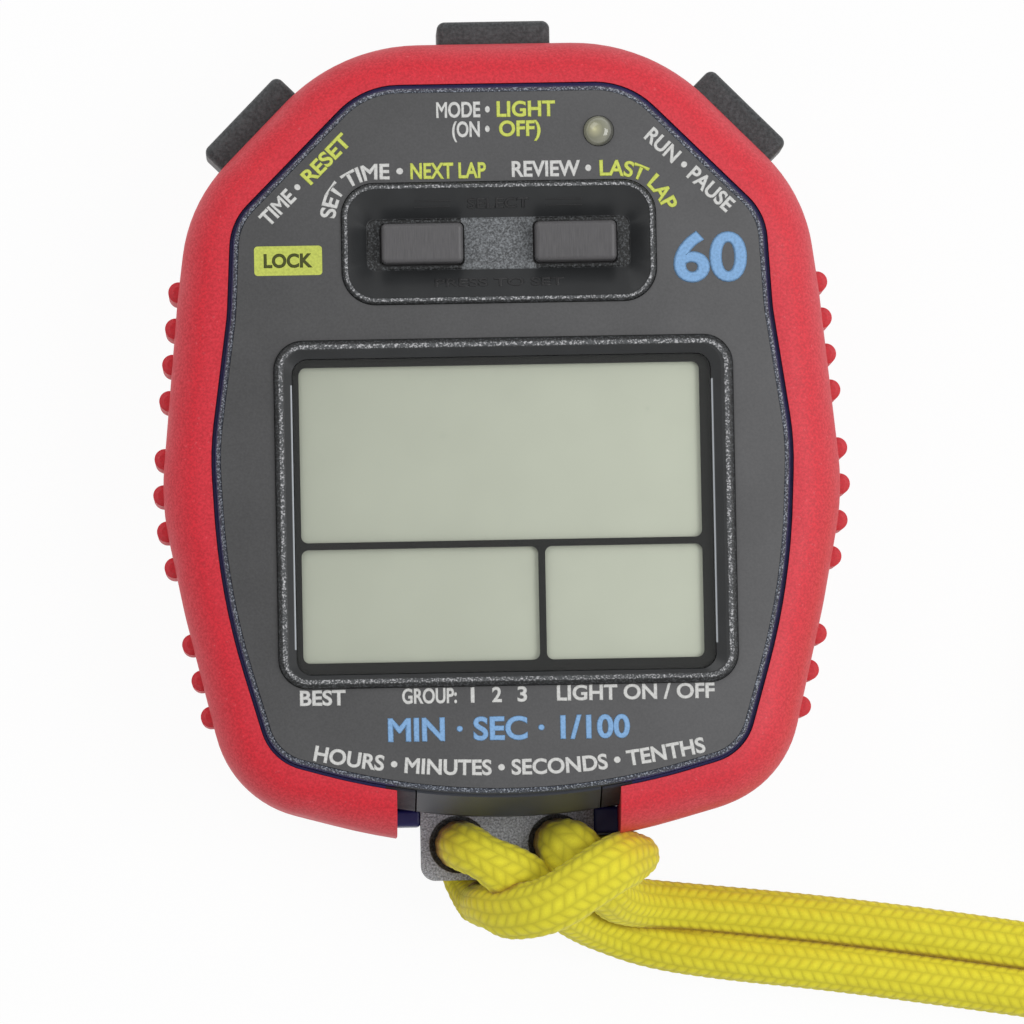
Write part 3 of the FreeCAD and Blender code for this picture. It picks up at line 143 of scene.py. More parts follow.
class Finish:
    """A node material under construction, on Object coordinates."""

    def __init__(self, name, colour, roughness, metallic=0.0, specular=0.5):
        self.material = bpy.data.materials.new(name)
        self.material.use_nodes = True
        self.tree = self.material.node_tree
        self.shader = self.tree.nodes["Principled BSDF"]
        self.set("Base Color", linear(colour))
        self.set("Roughness", roughness)
        self.set("Metallic", metallic)
        self.set("Specular IOR Level", specular)
        self.place = self.node("ShaderNodeTexCoord").outputs["Object"]
        self.normal = None

    def set(self, socket, value):
        """Sets one input of the shader, or feeds it from another node."""
        self.feed(self.shader.inputs[socket], value)

    def feed(self, socket, value):
        """Links an output to an input, or writes a plain value in it."""
        if isinstance(value, bpy.types.NodeSocket):
            self.tree.links.new(value, socket)
        else:
            socket.default_value = value

    def node(self, kind, **settings):
        """New node with its settings."""
        made = self.tree.nodes.new(kind)
        for key, value in settings.items():
            setattr(made, key, value)
        return made

    def noise(self, size, detail=2.0, roughness=0.5, place=None):
        """Noise whose spots are about size metres across; 0 to 1."""
        made = self.node("ShaderNodeTexNoise")
        self.feed(made.inputs["Vector"], place or self.place)
        made.inputs["Scale"].default_value = 1.0 / size
        made.inputs["Detail"].default_value = detail
        made.inputs["Roughness"].default_value = roughness
        return made.outputs["Fac"]

    def cells(self, size, feature="F1"):
        """Voronoi cells about size metres across."""
        made = self.node("ShaderNodeTexVoronoi", feature=feature)
        self.feed(made.inputs["Vector"], self.place)
        made.inputs["Scale"].default_value = 1.0 / size
        return made.outputs["Distance"]

    def ramp(self, value, *stops):
        """Piecewise value: each stop is (at, grey or colour)."""
        made = self.node("ShaderNodeValToRGB")
        self.feed(made.inputs["Fac"], value)
        points = made.color_ramp.elements
        while len(points) < len(stops):
            points.new(0.5)
        for point, (at, tone) in zip(points, stops):
            point.position = at
            point.color = linear(tone) if hasattr(tone, "__len__") else (tone, tone, tone, 1.0)
        return made.outputs["Color"]

    def blend(self, share, first, second):
        """Mixes two colours by a share of 0 to 1; each is a picker colour or another node's output."""
        made = self.node("ShaderNodeMix", data_type="RGBA", blend_type="MIX")
        self.feed(made.inputs["Factor"], share)
        for name, tone in (("A", first), ("B", second)):
            self.feed(made.inputs[name], tone if isinstance(tone, bpy.types.NodeSocket) else linear(tone))
        return made.outputs["Result"]

    def tones(self, share, colour, dark, pale):
        """One colour from a darker to a paler tone of it, by a share of 0 to 1."""
        return self.blend(share, shade(colour, dark), shade(colour, pale))

    def calc(self, operation, first, second=0.0, third=0.0):
        """One Math node."""
        made = self.node("ShaderNodeMath", operation=operation)
        for socket, value in zip(made.inputs, (first, second, third)):
            self.feed(socket, value)
        return made.outputs["Value"]

    def range(self, value, low, high, to_low=0.0, to_high=1.0):
        """Maps one range on another, clamped."""
        made = self.node("ShaderNodeMapRange")
        for socket, number in zip(made.inputs, (value, low, high, to_low, to_high)):
            self.feed(socket, number)
        return made.outputs["Result"]

    def axes(self, vector=None):
        """The three numbers of a vector; the place on the object where none is given."""
        made = self.node("ShaderNodeSeparateXYZ")
        self.feed(made.inputs[0], vector or self.place)
        return made.outputs

    def within(self, low, high):
        """1 inside a box of the object's space and 0 outside it, with a soft edge."""
        soft = 0.05 * MM
        share = 1.0
        for value, least, most in zip(self.axes(), low, high):
            share = self.calc("MULTIPLY", share, self.range(value, least - soft, least))
            share = self.calc("MULTIPLY", share, self.range(value, most + soft, most))
        return share

    def from_axis(self, x, y):
        """Distance from an upright axis."""
        across = self.axes()
        first = self.calc("SUBTRACT", across[0], x)
        second = self.calc("SUBTRACT", across[1], y)
        square = self.calc("ADD", self.calc("MULTIPLY", first, first), self.calc("MULTIPLY", second, second))
        return self.calc("SQRT", square)

    def bump(self, height, depth):
        """Adds relief of a depth in metres on top of what there is."""
        made = self.node("ShaderNodeBump")
        made.inputs["Strength"].default_value = 1.0
        made.inputs["Distance"].default_value = depth
        self.feed(made.inputs["Height"], height)
        if self.normal is not None:
            self.tree.links.new(self.normal, made.inputs["Normal"])
        self.normal = made.outputs["Normal"]
        self.set("Normal", self.normal)


def dress(finish, *nodes):
    """Gives CAD nodes a finish through their own material slots."""
    for name in nodes:
        for slot in frame["nodes"][name].material_slots:
            slot.material = finish.material


def middle_of(node):
    """Middle of a CAD node's box."""
    low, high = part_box(node)
    return (low + high) / 2


def mixed_grain(finish, dark, pale, size, low=0.38, high=0.62):
    """Colour of a coarse spark-eroded grain, with painted highlights where its peaks catch the light."""
    fleck = finish.noise(size, 3.0, 0.6)
    return finish.blend(finish.range(fleck, low, high), dark, pale), fleck


def shade(colour, factor):
    """A colour made darker or paler."""
    return tuple(min(1.0, part * factor) for part in colour)


# ---------------------------------------------------------------- modelling helpers

def clear_selection():
    """Leaves nothing selected."""
    if bpy.context.object and bpy.context.object.mode != "OBJECT":
        bpy.ops.object.mode_set(mode="OBJECT")
    bpy.ops.object.select_all(action="DESELECT")


def make_active(item):
    """Selects one object and nothing else."""
    clear_selection()
    item.select_set(True)
    bpy.context.view_layer.objects.active = item


def keep_place(item):
    """Puts an object's place, turn and size in its mesh."""
    make_active(item)
    bpy.ops.object.transform_apply(location=True, rotation=True, scale=True)


def settle(item, name, body, finish):
    """Names a finished piece, gives it its finish and lets it ride on a body."""
    item.name = name
    item.data.name = name
    item.data.materials.clear()
    item.data.materials.append(finish.material)
    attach(item, body)


def joined(items):
    """Makes one object of several."""
    make_active(items[0])
    for item in items[1:]:
        item.select_set(True)
    if len(items) > 1:
        bpy.ops.object.join()
    return items[0]


@contextmanager
def edit_mode():
    """Edit mode on the active mesh, with all of it selected."""
    bpy.ops.object.mode_set(mode="EDIT")
    bpy.ops.mesh.select_all(action="SELECT")
    yield
    bpy.ops.object.mode_set(mode="OBJECT")


def thicken_sheet(height):
    """In edit mode: raises a flat sheet that is selected into a plate, with its faces outwards."""
    bpy.ops.mesh.extrude_region_move(TRANSFORM_OT_translate={"value": (0, 0, height)})
    bpy.ops.mesh.select_all(action="SELECT")
    bpy.ops.mesh.normals_make_consistent(inside=False)


def flat_sheet(middle, size):
    """Upright-facing rectangle, given in mm."""
    clear_selection()
    bpy.ops.mesh.primitive_plane_add(size=1.0, location=[part * MM for part in middle])
    item = bpy.context.object
    item.scale = (size[0] * MM, size[1] * MM, 1.0)
    keep_place(item)
    return item


def soft_block(middle, size, edge, segments, lean=0.0):
    """Block with rounded edges, in mm, that leans about X by some degrees."""
    clear_selection()
    bpy.ops.mesh.primitive_cube_add(size=1.0, location=[part * MM for part in middle],
                                    rotation=(math.radians(lean), 0, 0))
    item = bpy.context.object
    item.scale = [part * MM for part in size]
    keep_place(item)
    with edit_mode():
        bpy.ops.mesh.bevel(offset=edge * MM, segments=segments)
    return item


# The built-in letters at a size of 1 are made bolder by this much all round, and have capitals this high.
BOLD = 0.038
CAPITAL = 0.682 + 2 * BOLD
INK = 0.02 * MM                         # thickness of a layer of ink


def flat_words(text):
    """A line of bold capitals as a mesh round the origin, one unit high."""
    clear_selection()
    bpy.ops.object.text_add()
    item = bpy.context.object
    item.data.body = text
    item.data.align_x = "CENTER"
    item.data.bevel_depth = BOLD
    item.data.bevel_resolution = 0
    item.data.resolution_u = 6
    bpy.ops.object.convert(target="MESH")
    return item


def span(item):
    """Least and most x of a mesh."""
    across = [vertex.co.x for vertex in item.data.vertices]
    return min(across), max(across)


def words(text, middle, width, capital, level, turn=0.0, lean=0.0, thick=INK):
    """Lettering that fills a width, with capitals of a height, its middle at a place; sizes in mm."""
    item = flat_words(text)
    least, most = span(item)
    size = (width * MM / (most - least), capital * MM / CAPITAL, thick / (2 * BOLD))
    centre = Vector(((least + most) / 2, CAPITAL / 2 - BOLD, 0))
    place = Matrix.Translation(Vector((middle[0], middle[1], level)) * MM)
    turned = Matrix.Rotation(math.radians(turn), 4, "Z") @ Matrix.Rotation(math.radians(lean), 4, "X")
    item.matrix_world = place @ turned @ Matrix.Diagonal((*size, 1.0)) @ Matrix.Translation(-centre)
    keep_place(item)
    return item


def line_length(points):
    """Length of a chain of points."""
    return sum((b - a).length for a, b in zip(points, points[1:]))


def smooth_curve(name, points, resolution=12):
    """One open spline that the points steer, without thickness; points in metres."""
    curve = bpy.data.curves.new(name, "CURVE")
    curve.dimensions = "3D"
    spline = curve.splines.new("NURBS")
    spline.points.add(len(points) - 1)
    for spot, point in zip(spline.points, points):
        spot.co = (*point, 1.0)
    spline.order_u = 3
    spline.use_endpoint_u = True
    spline.resolution_u = resolution
    item = bpy.data.objects.new(name, curve)
    bpy.context.scene.collection.objects.link(item)
    return item


def curve_points(item):
    """The line of a curve object as points."""
    bpy.context.view_layer.update()
    mesh = bpy.data.meshes.new_from_object(item.evaluated_get(bpy.context.evaluated_depsgraph_get()))
    points = [vertex.co.copy() for vertex in mesh.vertices]
    bpy.data.meshes.remove(mesh)
    return points


def bent_words(text, path, capital, level):
    """Lettering whose middle line follows a path and fills it; sizes in mm."""
    steer = smooth_curve("words_path", [Vector((x, y, level)) * MM for x, y in path])
    steer.data.dimensions = "2D"
    steer.location.z = level * MM
    room = line_length(curve_points(steer))
    item = flat_words(text)
    least, most = span(item)
    size = (room / (most - least), capital * MM / CAPITAL, INK / (2 * BOLD))
    shift = Vector((-least, BOLD - CAPITAL / 2, 0))
    item.matrix_world = Matrix.Diagonal((*size, 1.0)) @ Matrix.Translation(shift)
    keep_place(item)
    item.location.z = level * MM
    bend = item.modifiers.new("bend", "CURVE")
    bend.object = steer
    make_active(item)
    bpy.ops.object.modifier_apply(modifier="bend")
    keep_place(item)
    bpy.data.objects.remove(steer)
    return item


# ---------------------------------------------------------------- rubber band

# Pale pink of the dust specks, also used for the painted light to the right.
DUST_AND_LIGHT_PINK = (0.95, 0.58, 0.6)


def red_rubber(colour):
    """Soft rubber with painted light and shade: paler on the inner edge, deeper where it rounds over and a
    little paler to the right.
    """
    finish = Finish("red_rubber", colour, 0.55, specular=0.4)
    flecks = finish.noise(0.26 * MM, 3.0, 0.65)
    clouds = finish.noise(5.0 * MM, 3.0, 0.6)
    wander = finish.calc("MULTIPLY", finish.calc("SUBTRACT", clouds, 0.5), MM)
    height = finish.calc("ADD", finish.axes()[2], wander)
    # Painted light and shade by height on the band: paler on the inner edge, deeper where it rounds over.
    painted_light_by_height = finish.ramp(finish.range(height, 15.0 * MM, 20.9 * MM), (0.0, shade(colour, 0.93)),
                        (0.55, (0.895, 0.285, 0.33)), (0.76, (0.92, 0.25, 0.30)), (0.9, colour),
                        (1.0, (0.92, 0.22, 0.28)))
    spotted = finish.range(flecks, 0.36, 0.62, 0.9, 0.0)
    colours = finish.blend(spotted, painted_light_by_height, shade(colour, 0.86))
    # Painted light from the right: the band a little paler to the right.
    painted_light_right = finish.range(finish.axes()[0], -10 * MM, 32 * MM, 0.0, 0.07)
    colours = finish.blend(painted_light_right, colours, DUST_AND_LIGHT_PINK)
    dust = finish.range(finish.noise(0.45 * MM, 4.0, 0.7), 0.62, 0.76, 0.0, 0.4)
    finish.set("Base Color", finish.blend(dust, colours, DUST_AND_LIGHT_PINK))
    finish.set("Roughness", finish.range(clouds, 0.3, 0.7, 0.48, 0.62))
    finish.bump(flecks, 0.015 * MM)
    return finish


class STOPWATCH_OT_rubber_band(bpy.types.Operator):
    """Red rubber band round the case, with its nubs"""

    bl_idname = "stopwatch.rubber_band"
    bl_label = "Rubber band"

    def execute(self, context):
        dress(red_rubber(context.scene.stopwatch_finish.rubber), "bumper")
        return {"FINISHED"}


# ---------------------------------------------------------------- housings

# Key trough of the front housing: middle, half sizes of its floor and the floor's level, in mm.
TROUGH = (0.0, 20.3)
TROUGH_FLOOR = (13.1, 2.45)
TROUGH_FLOOR_LEVEL = 20.4
TROUGH_MOUTH = 5.5                      # half its height where its slopes begin
SLOPE_DEPTH = 1.7                       # how deep the long slopes go
# The two raised lips and the opening for the window: middle, outer half sizes and corner radius, in mm.
TROUGH_LIP = (TROUGH, (15.75, 6.1), 3.4)
DISPLAY_LIP = ((0.2, -6.7), (22.95, 17.4), 3.0)
OPENING = ((0.0, -6.95), (21.1, 15.95), 1.3)
# Inside each lip's outline, in mm: its painted glint along the edge, and where the slope with painted shade
# is reached.
TROUGH_GLINT = (-0.58, -0.3)
TROUGH_SLOPE = (-0.58, -0.68)
DISPLAY_GLINT = (-0.85, -0.45)
DISPLAY_SLOPE = (-0.85, -1.0)
LUG_TOP = 10.3
BEZEL_TOP = 21.5
RIM_BOTTOM = 20.9
NAVY_FROM = 11.0                        # how far from the middle the rim turns from black to navy at the chin
# Blocks with colours of their own, some of them painted light: middle, half sizes and the levels they lie
# between, in mm.
# The window's seat also holds the painted highlight along the window's edge.
WINDOW_SEAT = (OPENING[0], (21.4, 13.2), RIM_BOTTOM, 22.4)
TROUGH_ENDS = (TROUGH, (13.4, 2.6), 20.2, TROUGH_FLOOR_LEVEL + 0.05)
TROUGH_MIDDLE = (TROUGH, (3.7, 2.6), 20.2, TROUGH_FLOOR_LEVEL + 0.05)
# The lug's top face, made paler than its sides with painted light.
LIT_LUG_TOP = ((0, -40), (12, 5), LUG_TOP - 0.12, LUG_TOP + 0.1)
CHIN_WALL = ((0, -36), (30, 4), LUG_TOP + 0.4, 21.0)
CHIN_SHADOW = ((0, -36), (12.3, 3), 11.5, 21.0)


def slab(finish, middle, half, back, front):
    """Share of an upright block, given in mm."""
    low = ((middle[0] - half[0]) * MM, (middle[1] - half[1]) * MM, back * MM)
    high = ((middle[0] + half[0]) * MM, (middle[1] + half[1]) * MM, front * MM)
    return finish.within(low, high)


def beyond(finish, middle, half, corner):
    """How far a place lies outside a rounded rectangle given in mm; less than 0 inside it."""
    square = 0.0
    for axis, centre, reach in zip(finish.axes(), middle, half):
        away = finish.calc("ABSOLUTE", finish.calc("SUBTRACT", axis, centre * MM))
        away = finish.calc("MAXIMUM", finish.calc("SUBTRACT", away, (reach - corner) * MM), 0.0)
        square = finish.calc("ADD", finish.calc("MULTIPLY", away, away), square)
    return finish.calc("SUBTRACT", finish.calc("SQRT", square), corner * MM)


def ring(finish, outside, low, high):
    """Share of the band between two distances in mm from an outline."""
    inner = finish.range(outside, (low - 0.05) * MM, (low + 0.05) * MM)
    return finish.calc("MULTIPLY", inner, finish.range(outside, (high + 0.05) * MM, (high - 0.05) * MM))


def inside(finish, outside, begin, end):
    """Share of what lies inside an outline, between two distances from it in mm."""
    return finish.range(outside, begin * MM, end * MM)


def either(finish, first, second):
    """Share of what lies in one of two masks."""
    return finish.calc("MAXIMUM", first, second)


def rim_colours(finish, speck_glints):
    """The bezel's rim: painted glints as pale specks on its flat top, and a slope that is navy but for the
    chin's black.
    """
    flat = finish.range(finish.axes()[2], (BEZEL_TOP - 0.3) * MM, (BEZEL_TOP - 0.22) * MM)
    beside = finish.range(finish.calc("ABSOLUTE", finish.axes()[0]), NAVY_FROM * MM, (NAVY_FROM + 0.6) * MM)
    above = finish.range(finish.axes()[1], -30 * MM, -29 * MM)
    slope = finish.blend(either(finish, beside, above), (0.17, 0.18, 0.19), (0.12, 0.11, 0.31))
    top = finish.blend(speck_glints, (0.22, 0.24, 0.29), (0.68, 0.71, 0.76))
    return finish.blend(flat, slope, top)


def front_plastic(colour):
    """Spark-eroded black plastic with painted light: pale glinting specks on the rims, painted highlights on
    the lips and by the window's edge, dark slopes with painted shade inside the lips, a paler lit top on the
    lug, polished in the trough.
    """
    finish = Finish("front_plastic", colour, 0.45)
    height = finish.axes()[2]
    trough = beyond(finish, *TROUGH_LIP)
    display = beyond(finish, *DISPLAY_LIP)
    opening = beyond(finish, *OPENING)
    grain, fleck = mixed_grain(finish, shade(colour, 0.8), shade(colour, 1.8), 0.24 * MM)
    bright, fine = mixed_grain(finish, shade(colour, 1.25), shade(colour, 2.6), 0.19 * MM, 0.38, 0.7)
    # Painted light: pale grain for the lit top of the lug.
    lit_lug_grain = mixed_grain(finish, (0.50, 0.51, 0.53), (0.80, 0.81, 0.84), 0.2 * MM, 0.38, 0.64)[0]
    # Painted highlights: pale specks where the grain glints.
    speck_glints = finish.range(fine, 0.5, 0.64)
    patches = finish.noise(3.0 * MM)

    def speckled_with_glints(share):
        """Dark plastic with painted glints as pale specks, which show by a share."""
        return finish.tones(finish.calc("MULTIPLY", speck_glints, share), colour, 0.55, 2.2)

    edge = finish.range(height, BEZEL_TOP * MM, (BEZEL_TOP + 0.1) * MM)
    glint = either(finish, ring(finish, display, *DISPLAY_GLINT), ring(finish, trough, *TROUGH_GLINT))
    sunk = either(finish, inside(finish, display, *DISPLAY_SLOPE), inside(finish, trough, *TROUGH_SLOPE))
    # Painted highlight: a pale line just inside the opening, where the window's edge catches light.
    line = finish.calc("MULTIPLY", ring(finish, opening, -0.2, 0.02), slab(finish, *WINDOW_SEAT))
    ends = slab(finish, *TROUGH_ENDS)
    floor = slab(finish, *TROUGH_MIDDLE)
    lug = slab(finish, *LIT_LUG_TOP)
    chin = slab(finish, *CHIN_WALL)
    within_lips = either(finish, inside(finish, display, 0.12, 0.04), inside(finish, trough, 0.12, 0.04))
    rim = finish.calc("SUBTRACT", finish.range(height, RIM_BOTTOM * MM, (RIM_BOTTOM + 0.1) * MM), within_lips)
    # Each later layer covers the ones before it.
    layers = (
        (edge, speckled_with_glints(0.4)),
        # Painted highlight along the lips' edges.
        (glint, finish.blend(speck_glints, shade(colour, 1.4), (0.82, 0.82, 0.83))),
        # Polished slopes inside the lips, darkened further with painted shade.
        (sunk, finish.tones(patches, colour, 0.74, 0.98)),
        # Painted highlight of the window's edge.
        (line, (0.74, 0.76, 0.78)),
        (ends, speckled_with_glints(0.5)),
        (floor, bright),
        # Painted light on the lug's top.
        (lug, lit_lug_grain),
        (chin, finish.blend(patches, (0.22, 0.235, 0.27), (0.25, 0.26, 0.295))),
        (rim, rim_colours(finish, speck_glints)),
    )
    colours = grain
    for share, tone in layers:
        colours = finish.blend(share, colours, tone)
    finish.set("Base Color", colours)
    polished = finish.calc("SUBTRACT", sunk, either(finish, floor, ends))
    finish.set("Roughness", finish.range(polished, 0.0, 1.0, 0.46, 0.3))
    relief = finish.range(either(finish, polished, chin), 0.0, 1.0, 1.0, 0.05)
    finish.bump(finish.calc("MULTIPLY", fleck, relief), 0.06 * MM)
    return finish


def navy_plastic(colour):
    """Smooth navy plastic with a fine texture and faint rubbing marks, near black beside the chin."""
    finish = Finish("navy_plastic", colour, 0.42)
    cloud = finish.noise(6.0 * MM, 3.0)
    colours = finish.tones(cloud, colour, 0.86, 1.12)
    chin = slab(finish, *CHIN_SHADOW)
    finish.set("Base Color", finish.blend(chin, colours, (0.17, 0.175, 0.22)))
    scuff = finish.noise(1.6 * MM, 5.0, 0.75)
    rubbed = finish.range(scuff, 0.35, 0.7, 0.36, 0.56)
    finish.set("Roughness", finish.calc("MULTIPLY_ADD", chin, 0.2, rubbed))
    finish.bump(finish.noise(0.3 * MM, 3.0), 0.02 * MM)
    return finish


def plate_print(colour):
    """Screen-printed sheet: matt grey with a fine texture, and painted light that makes it a little paler to
    the right.
    """
    finish = Finish("plate_print", colour, 0.5, specular=0.4)
    fine = finish.noise(0.22 * MM, 2.0)
    cloud = finish.noise(9.0 * MM, 2.0)
    tone = finish.calc("ADD", finish.calc("MULTIPLY", fine, 0.5), finish.calc("MULTIPLY", cloud, 0.5))
    # Painted light from the right.
    across = finish.range(finish.axes()[0], -28 * MM, 28 * MM, -0.15, 0.45)
    pale = finish.range(finish.calc("ADD", tone, across), 0.2, 1.1)
    finish.set("Base Color", finish.tones(pale, colour, 0.9, 1.27))
    finish.set("Roughness", finish.range(cloud, 0.3, 0.7, 0.46, 0.54))
    finish.bump(fine, 0.006 * MM)
    return finish


class STOPWATCH_OT_housings(bpy.types.Operator):
    """Front and rear housing, battery cover and face plate"""

    bl_idname = "stopwatch.housings"
    bl_label = "Housings"

    def execute(self, context):
        colours = context.scene.stopwatch_finish
        dress(navy_plastic(colours.navy), "rear_housing", "battery_cover")
        dress(front_plastic(colours.black), "front_housing")
        dress(plate_print(colours.plate), "faceplate")
        return {"FINISHED"}


# Feet beside the lug, in mm.
FOOT_WIDTH = 2.8
FOOT_HEIGHT = 7.2
FOOT_ROUNDING = 0.35
FOOT_ASIDE = 10.1                       # from the middle of the watch to the middle of a foot
FOOT_LEVEL = 6.4                        # of a foot's middle
FOOT_BEGIN = -36.1                      # y where the feet leave the housing
FOOT_REACH = ((-1, 1.7), (1, 2.8))      # side, and how far the foot there stands out


class STOPWATCH_OT_chin_corners(bpy.types.Operator):
    """Navy feet of the rear housing on both sides of the lug"""

    bl_idname = "stopwatch.chin_corners"
    bl_label = "Chin corners"

    def execute(self, context):
        feet = []
        for side, reach in FOOT_REACH:
            middle = (side * FOOT_ASIDE, FOOT_BEGIN - reach / 2, FOOT_LEVEL)
            feet.append(soft_block(middle, (FOOT_WIDTH, reach, FOOT_HEIGHT), FOOT_ROUNDING, 3))
        finish = navy_plastic(context.scene.stopwatch_finish.navy)
        settle(joined(feet), "chin_corners", "case", finish)
        return {"FINISHED"}


# Marks on the cover, in mm.
MARK_RELIEF = 0.16                      # how far they stand out
MARK_CAPITAL = 2.0
MARK_LETTER = 1.75                      # width of a letter with its gap
WORD_AT = 6.2                           # from the cover's middle to a word
ARROW_AT = 3.6                          # from the cover's middle to an arrow's line
ARROW_TIP = 3.6                         # from the middle of an arrow to its point
ARROW_BAR = (6.0, 0.5)
ARROW_FLARE = 3.2                       # how much wider the head is than the bar


class STOPWATCH_OT_cover_marks(bpy.types.Operator):
    """Raised words and turning arrows on the battery cover"""

    bl_idname = "stopwatch.cover_marks"
    bl_label = "Cover marks"

    def execute(self, context):
        low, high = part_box("battery_cover")
        middle = (low + high) / 2
        marks = []
        for text, down in (("OPEN", 1), ("CLOSE", -1)):
            marks.append(words(text, (0, down * WORD_AT), MARK_LETTER * len(text), MARK_CAPITAL, 0.0,
                               thick=MARK_RELIEF * MM))
        for down in (1, -1):
            marks.append(self.arrow(down))
        item = joined(marks)
        item.matrix_world = Matrix.Translation((middle.x, middle.y, low.z)) @ Matrix.Rotation(math.pi, 4, "Y")
        keep_place(item)
        settle(item, "cover_marks", "case", navy_plastic((0.17, 0.17, 0.46)))
        return {"FINISHED"}

    def arrow(self, down):
        """Short bar with a point, for the way the cover turns."""
        item = flat_sheet((0, down * ARROW_AT, -MARK_RELIEF / 2), ARROW_BAR)
        with edit_mode():
            bpy.ops.mesh.subdivide(number_cuts=5)
        self.pull_point(item, down)
        with edit_mode():
            bpy.ops.mesh.remove_doubles(threshold=0.01 * MM)
            thicken_sheet(MARK_RELIEF * MM)
        return item

    def pull_point(self, item, down):
        """Brings the last row together as a point and widens the row before it into an arrow's head."""
        line = down * ARROW_AT * MM
        for vertex in item.data.vertices:
            along = vertex.co.x * down
            if along > 2.9 * MM:
                vertex.co.y = line
                vertex.co.x = down * ARROW_TIP * MM
            elif along > 1.9 * MM:
                vertex.co.y = line + (vertex.co.y - line) * ARROW_FLARE


# ---------------------------------------------------------------- printing

PLATE_FRONT = 21.715                    # level of the printing's middle, in mm

# Words, middle x and y, width, height of the capitals and turn, in mm and degrees.
WHITE_LINES = [
    ("MODE \u2022", -3.35, 33.65, 5.4, 1.62, 0.0),
    ("(ON \u2022", -2.6, 31.68, 3.8, 1.62, 0.0),
    ("TIME \u2022", -21.7, 24.52, 5.2, 1.6, 45.0),
    ("RUN \u2022 PAUSE", 19.25, 27.25, 11.2, 1.6, -43.4),
    ("REVIEW \u2022", 5.4, 27.6, 8.0, 1.65, 0.0),
    ("BEST", -18.45, -25.02, 4.6, 1.58, 0.0),
    ("GROUP:", -7.8, -25.0, 5.5, 1.58, 0.0),
    ("1", -3.5, -24.99, 0.42, 1.58, 0.0),
    ("2", -1.07, -24.99, 1.0, 1.58, 0.0),
    ("3", 1.46, -24.98, 1.0, 1.58, 0.0),
    ("LIGHT ON / OFF", 12.8, -24.95, 15.8, 1.58, 0.0),
]
YELLOW_LINES = [
    ("LIGHT", 2.95, 33.65, 5.9, 1.62, 0.0),
    ("OFF)", 2.3, 31.69, 4.2, 1.62, 0.0),
    ("RESET", -17.15, 28.95, 6.0, 1.6, 45.0),
    ("NEXT LAP", -4.95, 27.55, 7.6, 1.65, 0.0),
]
BLUE_LINES = [
    ("60", 21.13, 18.45, 7.4, 5.0, 0.0),
    ("MIN \u00b7 SEC \u00b7 1/100", 0.07, -28.36, 24.2, 2.4, 0.0),
]
LEFT_ARCH = [(-17.1, 23.0), (-16.9, 24.9), (-15.5, 26.6), (-13.2, 27.58), (-11.5, 27.55), (-9.45, 27.58)]
RIGHT_ARCH = [(10.2, 27.57), (12.2, 27.62), (14.6, 27.1), (16.4, 25.5), (17.35, 23.4)]
CHIN_ARCH = [(-19.4, -30.5), (-12.5, -31.9), (-1.0, -32.35), (10.5, -32.05), (19.6, -30.35)]
BADGE_MIDDLE = (-21.12, 18.78)
BADGE_SIZE = (6.8, 2.95)
BADGE_CORNER = 0.35


def ink(name, colour):
    """Screen ink: nearly even, with slightly worn edges and pin holes."""
    finish = Finish(name, colour, 0.5, specular=0.4)
    worn = finish.noise(0.25 * MM, 3.0)
    finish.set("Base Color", finish.tones(finish.range(worn, 0.3, 0.62), colour, 0.9, 1.0))
    finish.set("Roughness", finish.range(worn, 0.3, 0.7, 0.42, 0.56))
    finish.bump(worn, 0.004 * MM)
    return finish


class STOPWATCH_OT_printing(bpy.types.Operator):
    """Generic words and numbers printed on the face plate"""

    bl_idname = "stopwatch.printing"
    bl_label = "Printing"

    def execute(self, context):
        colours = context.scene.stopwatch_finish
        white = self.lines(WHITE_LINES)
        white.append(bent_words("SET TIME \u2022", LEFT_ARCH, 1.62, PLATE_FRONT))
        white.append(bent_words("HOURS \u2022 MINUTES \u2022 SECONDS \u2022 TENTHS", CHIN_ARCH, 1.6,
                                PLATE_FRONT))
        yellow = self.lines(YELLOW_LINES)
        yellow.append(bent_words("LAST LAP", RIGHT_ARCH, 1.62, PLATE_FRONT))
        settle(joined(white), "white_print", "case", ink("white_ink", colours.white_ink))
        settle(joined(yellow), "yellow_print", "case",
               ink("yellow_ink", colours.yellow_ink))
        settle(joined(self.lines(BLUE_LINES)), "blue_print", "case",
               ink("blue_ink", colours.blue_ink))
        settle(self.badge(), "badge", "case", ink("badge_ink", (0.83, 0.87, 0.40)))
        label = words("LOCK", BADGE_MIDDLE, 4.9, 1.42, PLATE_FRONT + 0.02)
        settle(label, "badge_print", "case", ink("olive_ink", (0.30, 0.32, 0.12)))
        return {"FINISHED"}

    def lines(self, table):
        """One mesh for each line of lettering."""
        return [words(text, (x, y), width, capital, PLATE_FRONT, turn)
                for text, x, y, width, capital, turn in table]

    def badge(self):
        """Small plate of ink with rounded corners."""
        item = flat_sheet((*BADGE_MIDDLE, PLATE_FRONT - 0.01), BADGE_SIZE)
        with edit_mode():
            bpy.ops.mesh.bevel(offset=BADGE_CORNER * MM, segments=5, affect="VERTICES")
            bpy.ops.mesh.select_all(action="SELECT")
            thicken_sheet(INK)
        return item


# Marks moulded in the trough, in mm.
RELIEF_THICK = 0.14
RIDGE_SIZE = (3.6, 0.12, 0.12)
RIDGE_ROUNDING = 0.03
RIDGE_ASIDE = 6.6                       # from the trough's middle to the middle of a ridge
RIDGE_STEP = 0.3                        # from a pair's middle to each of its two ridges


